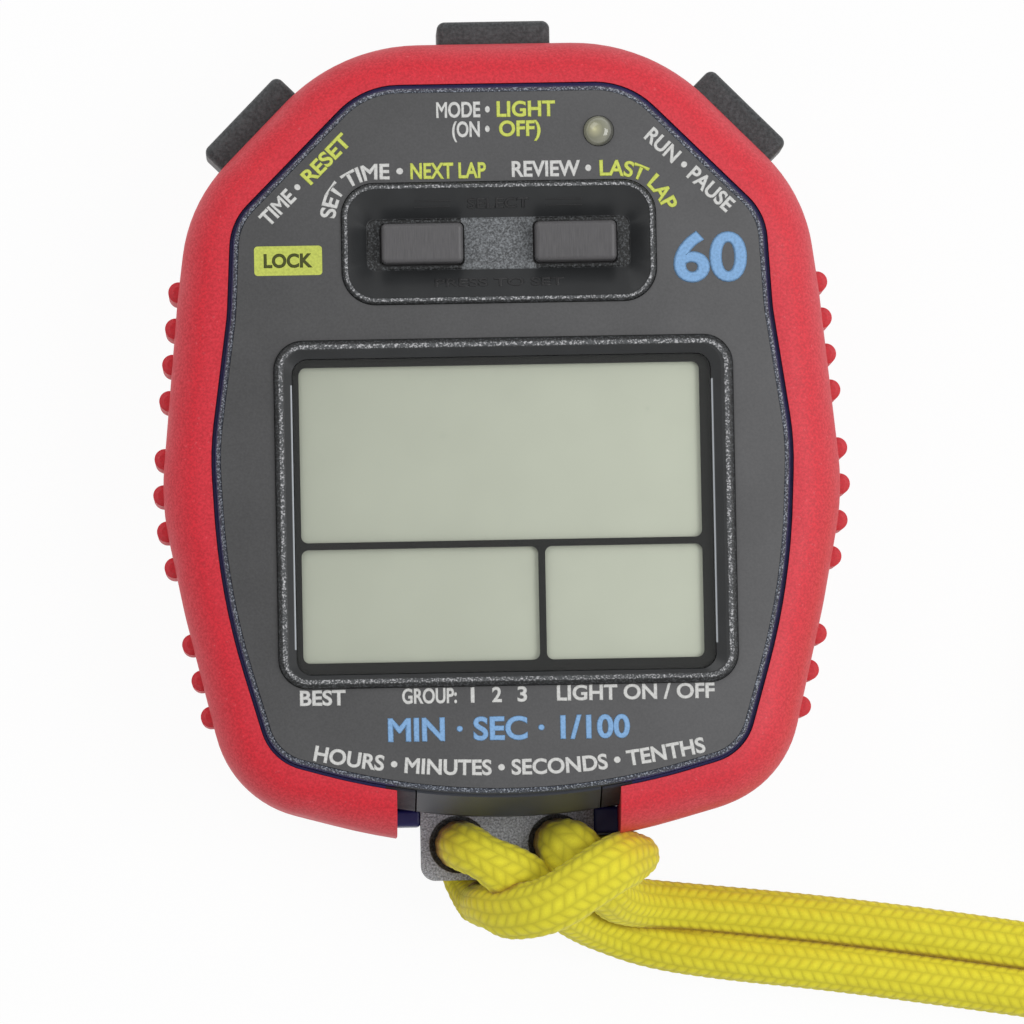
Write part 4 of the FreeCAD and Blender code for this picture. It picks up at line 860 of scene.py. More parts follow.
class STOPWATCH_OT_trough_relief(bpy.types.Operator):
    """Words and ridges moulded on the slopes of the key trough"""

    bl_idname = "stopwatch.trough_relief"
    bl_label = "Trough relief"

    def execute(self, context):
        x, y = TROUGH
        reach = (TROUGH_FLOOR[1] + TROUGH_MOUTH) / 2
        lean = math.degrees(math.atan2(SLOPE_DEPTH, TROUGH_MOUTH - TROUGH_FLOOR[1]))
        level = TROUGH_FLOOR_LEVEL + SLOPE_DEPTH / 2
        marks = [
            words("SELECT", (x, y + reach), 6.2, 1.15, level, lean=lean, thick=RELIEF_THICK * MM),
            words("PRESS TO SET", (x, y - reach), 13.0, 1.0, level, lean=-lean, thick=RELIEF_THICK * MM),
        ]
        for side in (-1, 1):
            for step in (-RIDGE_STEP, RIDGE_STEP):
                rise = step * math.tan(math.radians(lean))
                middle = (x + side * RIDGE_ASIDE, y + reach + step, level + rise)
                marks.append(soft_block(middle, RIDGE_SIZE, RIDGE_ROUNDING, 2, lean))
        item = joined(marks)
        finish = Finish("relief_plastic", (0.20, 0.20, 0.205), 0.34)
        finish.bump(finish.noise(0.15 * MM, 3.0), 0.03 * MM)
        settle(item, "trough_relief", "case", finish)
        return {"FINISHED"}


# ---------------------------------------------------------------- display

def liquid_crystal(colour):
    """Blank reflective display: pale olive, with painted shade that makes it deeper to the left."""
    finish = Finish("liquid_crystal", colour, 0.4, specular=0.3)
    low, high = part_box("display_mask")
    across = finish.range(finish.axes()[0], low.x, high.x)
    cloud = finish.noise(7.0 * MM, 3.0)
    fine = finish.noise(0.12 * MM, 2.0)
    uneven = finish.calc("ADD", finish.calc("MULTIPLY", cloud, 0.3), finish.calc("MULTIPLY", fine, 0.1))
    # Painted shade: darker to the left, paler to the right.
    tone = finish.calc("ADD", finish.calc("MULTIPLY", across, 0.6), uneven)
    colours = finish.tones(finish.range(tone, 0.2, 0.8), colour, 0.95, 1.045)
    smudge = finish.range(finish.noise(2.2 * MM, 4.0, 0.65), 0.66, 0.76, 0.0, 0.12)
    finish.set("Base Color", finish.blend(smudge, colours, (0.58, 0.62, 0.56)))
    finish.bump(fine, 0.002 * MM)
    return finish


def window_glass():
    """Clear acrylic: mirrors by angle and lets the rest through."""
    finish = Finish("window_acrylic", (1.0, 1.0, 1.0), 0.03, metallic=1.0)
    clear = finish.node("ShaderNodeBsdfTransparent")
    clear.inputs["Color"].default_value = linear((0.985, 0.99, 0.985))
    mirror = finish.node("ShaderNodeFresnel")
    mirror.inputs["IOR"].default_value = 1.49
    behind = finish.node("ShaderNodeNewGeometry").outputs["Backfacing"]
    front = finish.calc("SUBTRACT", 1.0, behind)
    mix = finish.node("ShaderNodeMixShader")
    finish.feed(mix.inputs[0], finish.calc("MULTIPLY", mirror.outputs[0], front))
    finish.feed(mix.inputs[1], clear.outputs[0])
    finish.feed(mix.inputs[2], finish.shader.outputs[0])
    finish.feed(finish.tree.nodes["Material Output"].inputs["Surface"], mix.outputs[0])
    return finish


def printed_film():
    """Black printed film behind the window."""
    finish = Finish("black_film", (0.055, 0.06, 0.055), 0.35)
    grain = finish.noise(0.3 * MM, 2.0)
    finish.set("Base Color", finish.blend(grain, (0.03, 0.03, 0.027), (0.06, 0.055, 0.05)))
    finish.bump(grain, 0.004 * MM)
    return finish


class STOPWATCH_OT_display(bpy.types.Operator):
    """Window, film, blank display and the light behind it"""

    bl_idname = "stopwatch.display"
    bl_label = "Display"

    def execute(self, context):
        dress(window_glass(), "display_window")
        dress(printed_film(), "display_mask")
        dress(liquid_crystal(context.scene.stopwatch_finish.liquid_crystal), "lcd_panel")
        light = Finish("light_diffuser", (0.88, 0.92, 0.86), 0.5)
        light.bump(light.cells(0.8 * MM), 0.03 * MM)
        dress(light, "backlight_panel")
        strips = Finish("contact_strips", (0.75, 0.62, 0.66), 0.6)
        bands = strips.calc("FRACT", strips.calc("MULTIPLY", strips.axes()[0], 1 / (0.5 * MM)))
        strips.set("Base Color", strips.blend(strips.range(bands, 0.45, 0.55), (0.78, 0.64, 0.68),
                                              (0.12, 0.11, 0.12)))
        dress(strips, "upper_connector", "lower_connector")
        return {"FINISHED"}


# ---------------------------------------------------------------- keys, buttons and lens

def satin_key(colour):
    """Satin plastic with fine upright brush lines."""
    finish = Finish("satin_key", colour, 0.42)
    stretch = finish.node("ShaderNodeMapping")
    stretch.inputs["Scale"].default_value = (1.0, 0.06, 1.0)
    finish.feed(stretch.inputs["Vector"], finish.place)
    lines = finish.noise(0.1 * MM, 3.0, 0.6, place=stretch.outputs[0])
    finish.set("Base Color", finish.tones(finish.range(lines, 0.3, 0.7), colour, 0.93, 1.07))
    finish.set("Roughness", finish.range(lines, 0.3, 0.7, 0.36, 0.5))
    finish.bump(lines, 0.006 * MM)
    return finish


def button_plastic(colour):
    """Grained black plastic of the push buttons, rubbed paler in places."""
    finish = Finish("button_plastic", colour, 0.5)
    grain, fleck = mixed_grain(finish, shade(colour, 0.78), shade(colour, 1.4), 0.28 * MM, 0.34, 0.7)
    rubbed = finish.range(finish.noise(2.4 * MM, 4.0), 0.55, 0.75, 0.0, 0.3)
    finish.set("Base Color", finish.blend(rubbed, grain, (0.36, 0.37, 0.37)))
    finish.bump(fleck, 0.05 * MM)
    return finish


# The lens's painted highlight, in mm: how far it lies off the lens's middle, and its radius.
HIGHLIGHT_SHIFT = (-0.45, 0.1)
HIGHLIGHT_RADIUS = 1.7


def sensor_lens():
    """Smoky dome with a painted highlight in its middle that fades to a darker rim."""
    finish = Finish("sensor_lens", (0.5, 0.5, 0.42), 0.08, specular=0.6)
    middle = middle_of("light_lens")
    far = finish.from_axis(middle.x + HIGHLIGHT_SHIFT[0] * MM, middle.y + HIGHLIGHT_SHIFT[1] * MM)
    painted_highlight = finish.ramp(finish.range(far, 0.0, HIGHLIGHT_RADIUS * MM), (0.0, (0.86, 0.85, 0.68)),
                        (0.16, (0.72, 0.71, 0.58)), (0.5, (0.57, 0.57, 0.49)), (0.82, (0.60, 0.60, 0.54)),
                        (1.0, (0.38, 0.38, 0.35)))
    finish.set("Base Color", painted_highlight)
    finish.set("Coat Weight", 0.6)
    finish.set("Coat Roughness", 0.03)
    finish.bump(finish.noise(0.8 * MM, 2.0), 0.01 * MM)
    return finish


class STOPWATCH_OT_keys(bpy.types.Operator):
    """The two keys, the push buttons and the light sensor's lens"""

    bl_idname = "stopwatch.keys"
    bl_label = "Keys and buttons"

    def execute(self, context):
        colours = context.scene.stopwatch_finish
        dress(satin_key(colours.keys), "left_key", "right_key")
        dress(button_plastic(colours.black), "top_button", "left_button", "right_button")
        dress(sensor_lens(), "light_lens")
        return {"FINISHED"}


# ---------------------------------------------------------------- inner parts

def metal(name, colour, roughness):
    """Plated metal with fine uneven polish."""
    finish = Finish(name, colour, roughness, metallic=1.0)
    uneven = finish.noise(0.3 * MM, 4.0, 0.6)
    finish.set("Base Color", finish.tones(uneven, colour, 0.9, 1.05))
    finish.set("Roughness", finish.range(uneven, 0.3, 0.7, roughness - 0.07, roughness + 0.08))
    finish.bump(uneven, 0.004 * MM)
    return finish


def soft_rubber():
    """Dark silicone with a dusty bloom."""
    finish = Finish("soft_rubber", (0.17, 0.17, 0.17), 0.7, specular=0.3)
    bloom = finish.noise(0.7 * MM, 4.0)
    finish.set("Base Color", finish.blend(bloom, (0.13, 0.13, 0.13), (0.23, 0.23, 0.23)))
    finish.bump(bloom, 0.02 * MM)
    return finish


def solder_mask():
    """Green circuit board with tracks and small bare pads."""
    finish = Finish("solder_mask", (0.05, 0.32, 0.15), 0.32)
    tracks = finish.cells(2.2 * MM, feature="DISTANCE_TO_EDGE")
    line = finish.range(tracks, 0.05, 0.08, 1.0, 0.0)
    pads = finish.range(finish.cells(1.5 * MM), 0.16, 0.2, 1.0, 0.0)
    green = finish.blend(line, (0.04, 0.27, 0.12), (0.10, 0.42, 0.20))
    finish.set("Base Color", finish.blend(pads, green, (0.85, 0.72, 0.42)))
    finish.set("Metallic", pads)
    finish.bump(finish.calc("ADD", line, pads), 0.03 * MM)
    return finish


def chip_epoxy():
    """Matt black epoxy with a fine moulded texture."""
    finish = Finish("chip_epoxy", (0.07, 0.07, 0.075), 0.6)
    fine = finish.noise(0.15 * MM, 3.0)
    finish.set("Base Color", finish.blend(fine, (0.05, 0.05, 0.055), (0.11, 0.11, 0.115)))
    finish.bump(fine, 0.01 * MM)
    return finish


def capacitors():
    """Tan ceramic with tinned ends."""
    finish = Finish("capacitors", (0.62, 0.48, 0.32), 0.45)
    along = finish.calc("FRACT", finish.calc("MULTIPLY", finish.axes()[1], 1 / (2.0 * MM)))
    ends = finish.calc("MAXIMUM", finish.range(along, 0.2, 0.15), finish.range(along, 0.8, 0.85))
    finish.set("Base Color", finish.blend(ends, (0.62, 0.48, 0.32), (0.8, 0.8, 0.8)))
    finish.set("Metallic", ends)
    finish.bump(finish.noise(0.2 * MM), 0.01 * MM)
    return finish


CERAMIC_RADIUS = 6.2
SILVER_RADIUS = 5.5


def sounder():
    """Brass disc with its white ceramic and silvered middle."""
    finish = Finish("sounder", (0.8, 0.66, 0.36), 0.3, metallic=1.0)
    middle = middle_of("buzzer")
    far = finish.from_axis(middle.x, middle.y)
    white = finish.range(far, (CERAMIC_RADIUS + 0.1) * MM, CERAMIC_RADIUS * MM)
    silver = finish.range(far, (SILVER_RADIUS + 0.1) * MM, SILVER_RADIUS * MM)
    colours = finish.blend(white, (0.8, 0.66, 0.36), (0.86, 0.85, 0.8))
    finish.set("Base Color", finish.blend(silver, colours, (0.75, 0.75, 0.76)))
    finish.set("Metallic", finish.calc("SUBTRACT", 1.0, finish.calc("SUBTRACT", white, silver)))
    finish.bump(finish.noise(0.4 * MM, 3.0), 0.008 * MM)
    return finish


def turned_steel(node):
    """Steel with the rings of a turning or pressing tool."""
    finish = Finish(node + "_steel", (0.74, 0.74, 0.75), 0.26, metallic=1.0)
    middle = middle_of(node)
    far = finish.from_axis(middle.x, middle.y)
    finish.bump(finish.calc("SINE", finish.calc("MULTIPLY", far, 1 / (0.03 * MM))), 0.002 * MM)
    cloud = finish.noise(3.0 * MM, 3.0)
    finish.set("Base Color", finish.blend(cloud, (0.68, 0.68, 0.69), (0.8, 0.8, 0.81)))
    finish.set("Roughness", finish.range(cloud, 0.3, 0.7, 0.2, 0.34))
    return finish


class STOPWATCH_OT_inner_parts(bpy.types.Operator):
    """Board, cell, contacts, springs, seals, switches and screws"""

    bl_idname = "stopwatch.inner_parts"
    bl_label = "Inner parts"

    def execute(self, context):
        dress(solder_mask(), "circuit_board")
        dress(chip_epoxy(), "timer_chip", "light_sensor", *[side + "_switch" for side in BUTTON_SIDES])
        dress(capacitors(), "filter_capacitors")
        dress(metal("crystal_can", (0.78, 0.78, 0.79), 0.25), "quartz_crystal")
        dress(metal("screw_steel", (0.62, 0.61, 0.6), 0.35), "case_screws", "board_screws")
        dress(metal("spring_steel", (0.72, 0.72, 0.72), 0.3),
              *[side + kind for side in BUTTON_SIDES for kind in ("_spring", "_clip")])
        dress(metal("contact_plating", (0.82, 0.78, 0.66), 0.28), "upper_contact", "side_contact")
        dress(sounder(), "buzzer")
        dress(turned_steel("coin_cell"), "coin_cell")
        dress(soft_rubber(), "case_gasket", "cover_seal", "left_dome", "right_dome",
              *[side + "_seal" for side in BUTTON_SIDES])
        return {"FINISHED"}


# Return springs behind the push buttons: radius, thickness of the wire in mm, and turns.
SPRING_RADIUS = 2.3
SPRING_WIRE = 0.5
SPRING_TURNS = 4
BUTTON_SIDES = ("top", "left", "right")


class STOPWATCH_OT_return_springs(bpy.types.Operator):
    """Round wire springs behind the push buttons"""

    bl_idname = "stopwatch.return_springs"
    bl_label = "Return springs"

    def execute(self, context):
        finish = metal("round_wire", (0.72, 0.72, 0.72), 0.3)
        low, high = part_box("top_spring")
        length = high.y - low.y
        for joint in frame["joints"]:
            side = joint["name"].removesuffix("_press")
            if side not in BUTTON_SIDES:
                continue
            outwards = -Vector(joint["axis"]).normalized()
            seal = middle_of(side + "_seal")
            along = (middle_of(side + "_spring") - seal).dot(outwards)
            base = seal + outwards * (along - length / 2)
            item = self.wound_wire(base, outwards, length)
            settle(item, side + "_spring_wire", "case", finish)
            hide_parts(side + "_spring")
            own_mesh(item)
        return {"FINISHED"}

    def wound_wire(self, base, outwards, length):
        """Wire wound round a line, with a flat quarter turn at each end."""
        wire = SPRING_WIRE * MM
        aside = outwards.cross(Vector((0, 0, 1)))
        per_turn = 16
        steps = SPRING_TURNS * per_turn
        points = []
        for step in range(steps + 1):
            angle = 2 * math.pi * step / per_turn
            share = min(max((step - per_turn / 4) / (steps - per_turn / 2), 0.0), 1.0)
            level = wire / 2 + (length - wire) * share
            spoke = aside * math.cos(angle) + Vector((0, 0, 1)) * math.sin(angle)
            points.append(base + spoke * SPRING_RADIUS * MM + outwards * level)
        item = smooth_curve("spring_wire", points, 3)
        item.data.bevel_depth = wire / 2
        item.data.bevel_resolution = 2
        item.data.use_fill_caps = True
        make_active(item)
        bpy.ops.object.convert(target="MESH")
        return bpy.context.object


# ---------------------------------------------------------------- lanyard

# One cord, point by point as it lies, in mm: out of the right hole, under the crossing strand and away ...
CORD_OUT = [
    (5.0, -39.7, 8.4), (5.2, -39.7, 11.2), (6.0, -40.3, 13.8), (8.0, -42.4, 13.8), (9.4, -44.4, 12.0),
    (11.0, -45.6, 8.2), (14.2, -46.0, 3.8), (20.0, -46.6, 2.4), (31.0, -47.8, 2.4), (44.0, -49.6, 2.4),
    (58.0, -51.9, 2.4), (68.0, -53.2, 3.9), (78.0, -54.2, 6.5),
]
# ... and from its wound rest back beside itself, down the left hole, across the front as the crossing
# strand and behind the lug into the right hole again.
CORD_BACK = [
    (86.0, -55.4, 2.4), (74.0, -57.6, 2.4), (60.0, -56.9, 2.4), (46.0, -54.7, 2.4), (33.0, -52.7, 2.4),
    (22.0, -51.4, 2.4), (14.5, -50.1, 2.4), (9.4, -48.2, 3.8), (5.6, -46.6, 8.6), (2.8, -44.4, 13.2),
    (-1.0, -42.0, 15.1), (-4.2, -40.1, 13.6), (-4.9, -39.7, 9.6), (-5.0, -39.7, 5.2), (-4.8, -41.0, 2.6),
    (-3.5, -44.2, 2.4), (-2.6, -45.9, 6.2), (-2.3, -45.9, 11.2), (0.4, -46.7, 15.4), (4.0, -46.2, 18.0),
    (7.9, -43.7, 18.5), (11.0, -41.7, 17.0), (13.3, -41.2, 11.8), (12.9, -41.1, 6.6), (10.4, -40.8, 2.9),
    (6.6, -39.8, 2.5), (5.0, -39.7, 4.8), (5.0, -39.7, 8.4),
]
LOWER_LEVEL = 2.4 * MM
TURN_POINTS = 16                        # control points in a turn of the coil
OUT_AT = math.radians(-104.0)           # where the upper tail joins the coil
BACK_AT = math.radians(-86.3)           # where the lower tail leaves it
BIGHT_AT = math.radians(33.0)           # where the cord turns inwards to cross the middle
NEXT_TURN_AT = math.radians(300.0)      # where an outer turn begins to slip inside, and over what angle
NEXT_TURN_OVER = math.radians(60.0)
SIDES = 36                              # faces round the cord
SEEN_TO = 60.0                          # the braid is finest up to this x, in mm


def ring_points(middle, level, begin, sweep, outer, inner):
    """Turns of one layer, the first one outside and the rest inside it, wound to the left."""
    count = round(sweep / (2 * math.pi) * TURN_POINTS)
    points = []
    for step in range(1, count + 1):
        angle = sweep * step / count
        share = min(max((angle - NEXT_TURN_AT) / NEXT_TURN_OVER, 0.0), 1.0)
        radius = outer + (inner - outer) * share * share * (3 - 2 * share)
        points.append(Vector((middle.x + radius * math.cos(begin + angle),
                              middle.y + radius * math.sin(begin + angle), level)))
    return points


def coil_points(cord):
    """The wound rest: in on the upper layer, across the middle and out on the lower layer."""
    middle = middle_of("lanyard_coil")
    d = cord.diameter
    outer, inner = cord.coil_radius + d / 2, cord.coil_radius - d / 2
    full = 2 * math.pi
    upper = ring_points(middle, LOWER_LEVEL + d, OUT_AT, BIGHT_AT - OUT_AT + full, outer, inner)
    lower = ring_points(middle, LOWER_LEVEL, BACK_AT, BIGHT_AT + math.pi - BACK_AT + full, outer, inner)
    crossing = []
    levels = (1.0, 0.86, 0.5, 0.2, 0.04, 0.0)
    for step, level in enumerate(levels[1:], 1):
        turn = BIGHT_AT + math.pi * step / len(levels)
        crossing.append((BIGHT_AT, turn, level))
    for step in range(1, len(levels)):
        turn = BIGHT_AT - math.pi * step / len(levels)
        crossing.append((BIGHT_AT + math.pi, turn, 0.0))
    bight = []
    for side, turn, level in crossing:
        spot = Vector((math.cos(side) + math.cos(turn), math.sin(side) + math.sin(turn), 0)) * inner / 2
        bight.append(Vector((middle.x + spot.x, middle.y + spot.y, LOWER_LEVEL + d * level)))
    return upper + bight + lower[::-1]


def even_line(points, near, far):
    """Points a step apart along a line: a short step where the cord is seen, a long one in its coil."""
    line, marks = [points[0]], [0.0]
    left, walked = near, 0.0
    for start, end in zip(points, points[1:]):
        gap = (end - start).length
        done = 0.0
        while gap - done >= left:
            done += left
            line.append(start.lerp(end, done / gap))
            marks.append(walked + done)
            left = near if line[-1].x < SEEN_TO * MM else far
        left -= gap - done
        walked += gap
    return line, marks


SLANT = 0.55                            # how far the stitches of one column lean, in stitches


def braid_height(column, row):
    """How far the braid stands out, 0 to 1, at a column round the cord and a row along it."""
    zigzag = SLANT * (1 - abs(column % 2 - 1))
    across = column % 1 - 0.5
    along = (row + zigzag + 0.5 * (column % 2 >= 1)) % 1 - 0.5
    return (1 - 4 * across * across) * (1 - 4 * along * along)


# Where the cord is pressed flat, in mm: a place on it, how much wider it gets and how far that reaches.
PRESSED = [
    ((4.6, -45.4, 17.6), 1.3, 10.0), ((8.6, -43.2, 17.4), 1.3, 8.0), ((-3.0, -45.4, 4.0), 1.1, 6.0),
    ((16.0, -48.5, 2.4), 1.13, 14.0), ((28.0, -50.0, 2.4), 1.13, 16.0),
    ((40.0, -51.5, 2.4), 1.13, 16.0), ((52.0, -53.2, 2.4), 1.13, 16.0),
]
# Where it spreads as it leaves the holes.
SWOLLEN = [((-4.8, -39.7, 11.0), 1.13, 5.0), ((5.2, -39.7, 11.0), 1.13, 5.0)]


def pressed_width(place, spots):
    """Width of the cord at a place, as a share of the round one: in full to half the reach."""
    most = 1.0
    for spot, width, reach in spots:
        near = min(1.0, max(0.0, 2 - 2 * (place - Vector(spot) * MM).length / (reach * MM)))
        most = max(most, 1 + (width - 1) * near * near * (3 - 2 * near))
    return most


def neighbours(line, marks, diameter):
    """For each point of the line, the points of other strands that touch it."""
    tree = KDTree(len(line))
    for index, point in enumerate(line):
        tree.insert(point, index)
    tree.balance()
    touching = []
    for index, point in enumerate(line):
        found = []
        if point.x < SEEN_TO * MM:
            near = tree.find_range(point, 1.7 * diameter)
            found = [spot for spot, other, _ in near if abs(marks[other] - marks[index]) > 2.4 * diameter]
        touching.append(found[::3])
    return touching


def heading(line, index):
    """Direction of a line at one of its points."""
    return (line[min(index + 1, len(line) - 1)] - line[max(index - 1, 0)]).normalized()


def spokes(centre, ahead, side, row, cord):
    """Once round the cord: the vectors from its middle to its braided surface."""
    over = ahead.cross(side)
    width = pressed_width(centre, PRESSED)
    swelling = pressed_width(centre, SWOLLEN)
    flat = Vector((0, 0, 1)) - ahead * ahead.z
    squeezed = flat.length > 0.3 and width > 1.0
    flat.normalize()
    found = []
    for step in range(SIDES):
        angle = 2 * math.pi * step / SIDES
        out = side * math.cos(angle) + over * math.sin(angle)
        height = braid_height(step / SIDES * cord.columns, row)
        out *= (cord.diameter / 2 + cord.relief * (height - 0.5)) * swelling
        if squeezed:
            up = flat * out.dot(flat)
            out = (out - up) * width + up / math.sqrt(width)
        found.append(out)
    return found


def skin(build, rings, rows):
    """Smooth faces between the rings, mapped by turn and row, and the two flat ends."""
    chart = build.loops.layers.uv.new("braid")
    for first, second, here, there in zip(rings, rings[1:], rows, rows[1:]):
        for step in range(SIDES):
            after = (step + 1) % SIDES
            face = build.faces.new((first[step], first[after], second[after], second[step]))
            face.smooth = True
            corners = ((step, here), (step + 1, here), (step + 1, there), (step, there))
            for loop, (turn, row) in zip(face.loops, corners):
                loop[chart].uv = (turn / SIDES, row)
    build.faces.new(list(reversed(rings[0])))
    build.faces.new(rings[-1])


def braided_tube(points, cord):
    """Tube with the braid's relief, its own map and a mark of painted shade where strands press on each other
    and in the holes.
    """
    line, marks = even_line(points, cord.pitch / 4, cord.pitch)
    rows = [mark / cord.pitch for mark in marks]
    build = bmesh.new()
    crease_shade = build.verts.layers.float.new("crease_shade")
    side = heading(line, 0).orthogonal()
    rings = []
    for index, others in enumerate(neighbours(line, marks, cord.diameter)):
        ahead = heading(line, index)
        side = (side - ahead * side.dot(ahead)).normalized()
        ring = []
        for out in spokes(line[index], ahead, side, rows[index], cord):
            vertex = build.verts.new(line[index] + out)
            vertex[crease_shade] = self_shade(line[index] + out, others, cord.diameter / 2)
            ring.append(vertex)
        rings.append(ring)
    skin(build, rings, rows)
    mesh = bpy.data.meshes.new("lanyard")
    build.to_mesh(mesh)
    build.free()
    item = bpy.data.objects.new("lanyard", mesh)
    bpy.context.scene.collection.objects.link(item)
    return item, line


# Painted brown shade in the creases between strands and in the lug's holes, in mm.
CREASE_REACH = 1.15                     # how near another strand
HOLES = ((-5.0, -39.7), (5.0, -39.7))   # middles of the lug's two holes
HOLE_REACH = 4.4                        # how far from a hole's middle
HOLE_LEVELS = (6.0, 11.3, 13.9)         # lowest level that counts, then where it is full and where it ends


def self_shade(place, others, radius):
    """Share of painted shade: 1 in the crease between strands or in a hole, 0 in the open."""
    crease = 0.0
    for other in others:
        gap = (place - other).length - radius
        crease = max(crease, 1 - max(gap, 0.0) / (CREASE_REACH * MM))
    least, full, none = [level * MM for level in HOLE_LEVELS]
    for x, y in HOLES:
        away = math.hypot(place.x - x * MM, place.y - y * MM)
        if away < HOLE_REACH * MM and place.z > least:
            crease = max(crease, min(1.0, (none - place.z) / (none - full)))
    return max(0.0, crease)


def braid(cord):
    """Braided polyester: yellow strands in slanting stitches, with painted shade browner between them and in
    the creases, darker between the stitches, and painted highlights on the stitch tops.
    """
    colour = cord.colour
    finish = Finish("braid", colour, 0.72, specular=0.25)
    chart = finish.axes(finish.node("ShaderNodeUVMap", uv_map="braid").outputs["UV"])
    column = finish.calc("MULTIPLY", chart[0], cord.columns)
    across = finish.calc("SUBTRACT", finish.calc("FRACT", column), 0.5)
    row = finish.calc("MULTIPLY_ADD", finish.calc("PINGPONG", column, 1.0), SLANT, chart[1])
    odd = finish.calc("GREATER_THAN", finish.calc("MODULO", column, 2.0), 1.0)
    row = finish.calc("MULTIPLY_ADD", odd, 0.5, row)
    along = finish.calc("SUBTRACT", finish.calc("FRACT", row), 0.5)
    arches = [finish.calc("MULTIPLY_ADD", finish.calc("MULTIPLY", part, part), -4.0, 1.0)
              for part in (across, along)]
    hill = finish.calc("MULTIPLY", *arches)
    yarn = finish.noise(0.13 * MM, 3.0, 0.6)
    cloud = finish.noise(2.5 * MM, 3.0)
    # Painted shade between the stitches and painted highlights on their tops.
    stitch = finish.ramp(hill, (0.0, shade(colour, 0.91)), (0.3, shade(colour, 0.965)),
                         (1.0, shade(colour, 1.05)))
    tone = finish.calc("ADD", finish.calc("MULTIPLY", yarn, 0.6), finish.calc("MULTIPLY", cloud, 0.4))
    worn = finish.blend(finish.range(tone, 0.36, 0.66, 0.3, 0.0), stitch, (0.78, 0.68, 0.12))
    crease = finish.node("ShaderNodeAttribute", attribute_name="crease_shade").outputs["Fac"]
    ragged = finish.calc("MULTIPLY", finish.calc("SUBTRACT", yarn, 0.5), 0.8)
    # Painted brown shade in the creases and holes.
    brown_shade = finish.range(finish.calc("ADD", crease, ragged), 0.25, 1.0, 0.0, 0.85)
    finish.set("Base Color", finish.blend(brown_shade, worn, (0.58, 0.37, 0.07)))
    finish.set("Sheen Weight", 0.15)
    finish.set("Sheen Roughness", 0.5)
    relief = finish.calc("ADD", finish.calc("MULTIPLY", hill, 0.85), finish.calc("MULTIPLY", yarn, 0.25))
    finish.bump(relief, 0.07 * MM)
    return finish


class STOPWATCH_OT_lanyard(bpy.types.Operator):
    """Braided cord: hitched through the lug, two strands on the table and the rest wound up"""

    bl_idname = "stopwatch.lanyard"
    bl_label = "Lanyard"

    def execute(self, context):
        cord = context.scene.stopwatch_cord
        route = [Vector(p) * MM for p in CORD_OUT] + coil_points(cord) + [Vector(p) * MM for p in CORD_BACK]
        steer = smooth_curve("lanyard_route", route)
        points = curve_points(steer)
        bpy.data.objects.remove(steer)
        item, line = braided_tube(points, cord)
        settle(item, "lanyard", "case", braid(cord))
        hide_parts("lanyard_upper", "lanyard_lower", "lanyard_coil")
        return {"FINISHED"}


# ---------------------------------------------------------------- studio

# Sizes and places of the studio, in metres, and how white the camera sees the table.
TABLE = 6.0
TABLE_GAP = 0.02 * MM                   # below the watch
WALL_RADIUS = 2.9
WALL_HEIGHT = 0.6
WHITE_SHARE = 0.95
KEY_LAMP = (0.5, Vector((0.55, -0.05, 0.7)))
FILL_LAMP = (0.6, Vector((-0.35, 0.45, 0.7)))
WHITE = (1, 1, 1, 1)


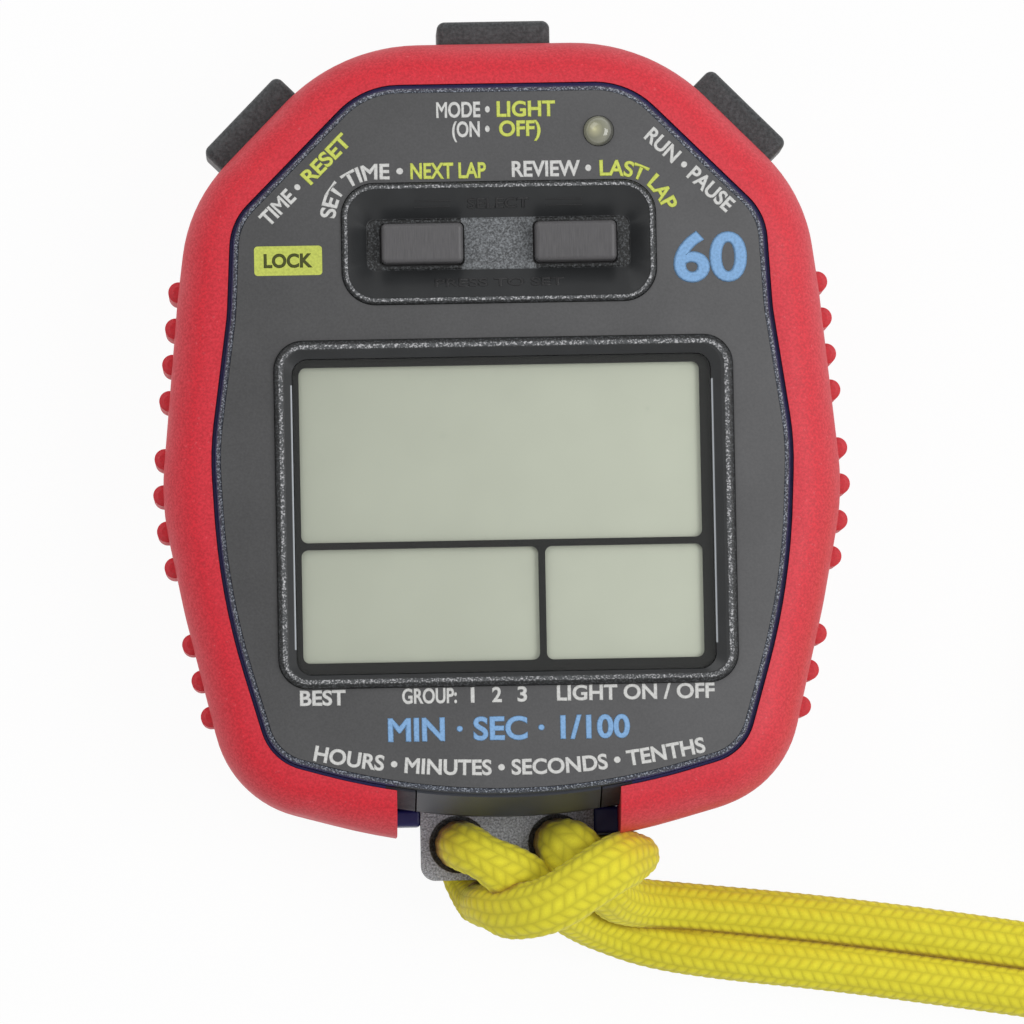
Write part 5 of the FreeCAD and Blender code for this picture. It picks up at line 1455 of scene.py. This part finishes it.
class STOPWATCH_OT_stage(bpy.types.Operator):
    """Pale floor, soft light and the camera"""

    bl_idname = "stopwatch.stage"
    bl_label = "Stage"

    def execute(self, context):
        light = context.scene.stopwatch_light
        context.scene.view_settings.view_transform = "Standard"
        self.floor(light)
        self.sky(context.scene, light)
        self.lamp("key_lamp", light.key, *KEY_LAMP)
        self.lamp("fill_lamp", light.fill, *FILL_LAMP)
        self.camera(context.scene, context.scene.stopwatch_view)
        return {"FINISHED"}

    def floor(self, light):
        """Table and a low wall round it that show white to the camera and keep a soft shadow."""
        clear_selection()
        bpy.ops.mesh.primitive_cylinder_add(vertices=96, radius=WALL_RADIUS, depth=WALL_HEIGHT,
                                            end_fill_type="NOTHING", location=(0, 0, WALL_HEIGHT / 2))
        wall = bpy.context.object
        keep_place(wall)
        clear_selection()
        bpy.ops.mesh.primitive_plane_add(size=TABLE, location=(0, 0, -TABLE_GAP))
        table = joined([bpy.context.object, wall])
        table.name = "table"
        finish = Finish("table", light.floor, 0.9, specular=0.0)
        table.data.materials.append(finish.material)
        tree = finish.tree
        glow = finish.node("ShaderNodeEmission")
        glow.inputs["Color"].default_value = WHITE
        path = finish.node("ShaderNodeLightPath")
        seen = finish.calc("MAXIMUM", path.outputs["Is Camera Ray"], path.outputs["Is Glossy Ray"])
        seen = finish.calc("MAXIMUM", seen, path.outputs["Is Transmission Ray"])
        mix = finish.node("ShaderNodeMixShader")
        finish.feed(mix.inputs[0], finish.calc("MULTIPLY", seen, WHITE_SHARE))
        tree.links.new(finish.shader.outputs[0], mix.inputs[1])
        tree.links.new(glow.outputs[0], mix.inputs[2])
        tree.links.new(mix.outputs[0], tree.nodes["Material Output"].inputs["Surface"])

    def sky(self, scene, light):
        """Even light all round."""
        world = bpy.data.worlds.new("studio")
        world.use_nodes = True
        scene.world = world
        even = world.node_tree.nodes["Background"]
        even.inputs["Color"].default_value = WHITE
        even.inputs["Strength"].default_value = light.sky

    def lamp(self, name, power, size, place):
        """Square soft lamp that looks at the watch."""
        data = bpy.data.lights.new(name, "AREA")
        data.energy = power
        data.size = size
        lamp = bpy.data.objects.new(name, data)
        lamp.location = place
        lamp.rotation_euler = (-place).to_track_quat("-Z", "Y").to_euler()
        bpy.context.scene.collection.objects.link(lamp)

    def camera(self, scene, view):
        """Camera almost straight above the face."""
        data = bpy.data.cameras.new("camera")
        data.sensor_width = 36.0
        data.lens = data.sensor_width * view.distance / view.width
        data.clip_start = 0.05
        data.clip_end = 20.0
        back = Vector((-math.sin(view.yaw) * math.cos(view.pitch), -math.sin(view.pitch),
                       math.cos(view.yaw) * math.cos(view.pitch)))
        up = Vector((0, 1, 0))
        up = (up - back * up.dot(back)).normalized()
        right = up.cross(back)
        side = right * math.cos(view.roll) - up * math.sin(view.roll)
        top = right * math.sin(view.roll) + up * math.cos(view.roll)
        camera = bpy.data.objects.new("camera", data)
        turn = Matrix((side, top, back)).transposed().to_4x4()
        camera.matrix_world = Matrix.Translation(Vector(view.aim) + back * view.distance) @ turn
        scene.collection.objects.link(camera)
        scene.camera = camera


# ---------------------------------------------------------------- panel and registration

STEPS = (
    STOPWATCH_OT_rubber_band, STOPWATCH_OT_housings, STOPWATCH_OT_chin_corners,
    STOPWATCH_OT_cover_marks, STOPWATCH_OT_printing,
    STOPWATCH_OT_trough_relief, STOPWATCH_OT_display, STOPWATCH_OT_keys, STOPWATCH_OT_inner_parts,
    STOPWATCH_OT_return_springs, STOPWATCH_OT_lanyard, STOPWATCH_OT_stage,
)


class STOPWATCH_PT_steps(bpy.types.Panel):
    """Lists the steps in the order they are made"""

    bl_label = "Stopwatch"
    bl_space_type = "VIEW_3D"
    bl_region_type = "UI"
    bl_category = "Stopwatch"

    def draw(self, context):
        for group in SETTINGS.values():
            box = self.layout.box()
            for name in group.__annotations__:
                box.prop(getattr(context.scene, attribute_of(group)), name)
        for step in STEPS:
            self.layout.operator(step.bl_idname)


SETTINGS = {
    "stopwatch_view": StopwatchViewSettings,
    "stopwatch_light": StopwatchLightSettings,
    "stopwatch_finish": StopwatchFinishSettings,
    "stopwatch_cord": StopwatchCordSettings,
}


def attribute_of(group):
    """Name under which the scene holds a settings group."""
    return next(name for name, kind in SETTINGS.items() if kind is group)


def register():
    """Registers the settings, the steps and the panel."""
    for name, group in SETTINGS.items():
        bpy.utils.register_class(group)
        setattr(bpy.types.Scene, name, PointerProperty(type=group))
    for kind in (*STEPS, STOPWATCH_PT_steps):
        bpy.utils.register_class(kind)


def unregister():
    """Takes all of it out again."""
    for kind in reversed((*STEPS, STOPWATCH_PT_steps)):
        bpy.utils.unregister_class(kind)
    for name, group in SETTINGS.items():
        delattr(bpy.types.Scene, name)
        bpy.utils.unregister_class(group)


def main():
    """Makes the whole scene, step by step."""
    register()
    for step in STEPS:
        group, action = step.bl_idname.split(".")
        getattr(getattr(bpy.ops, group), action)()


if __name__ == "__main__":
    main()
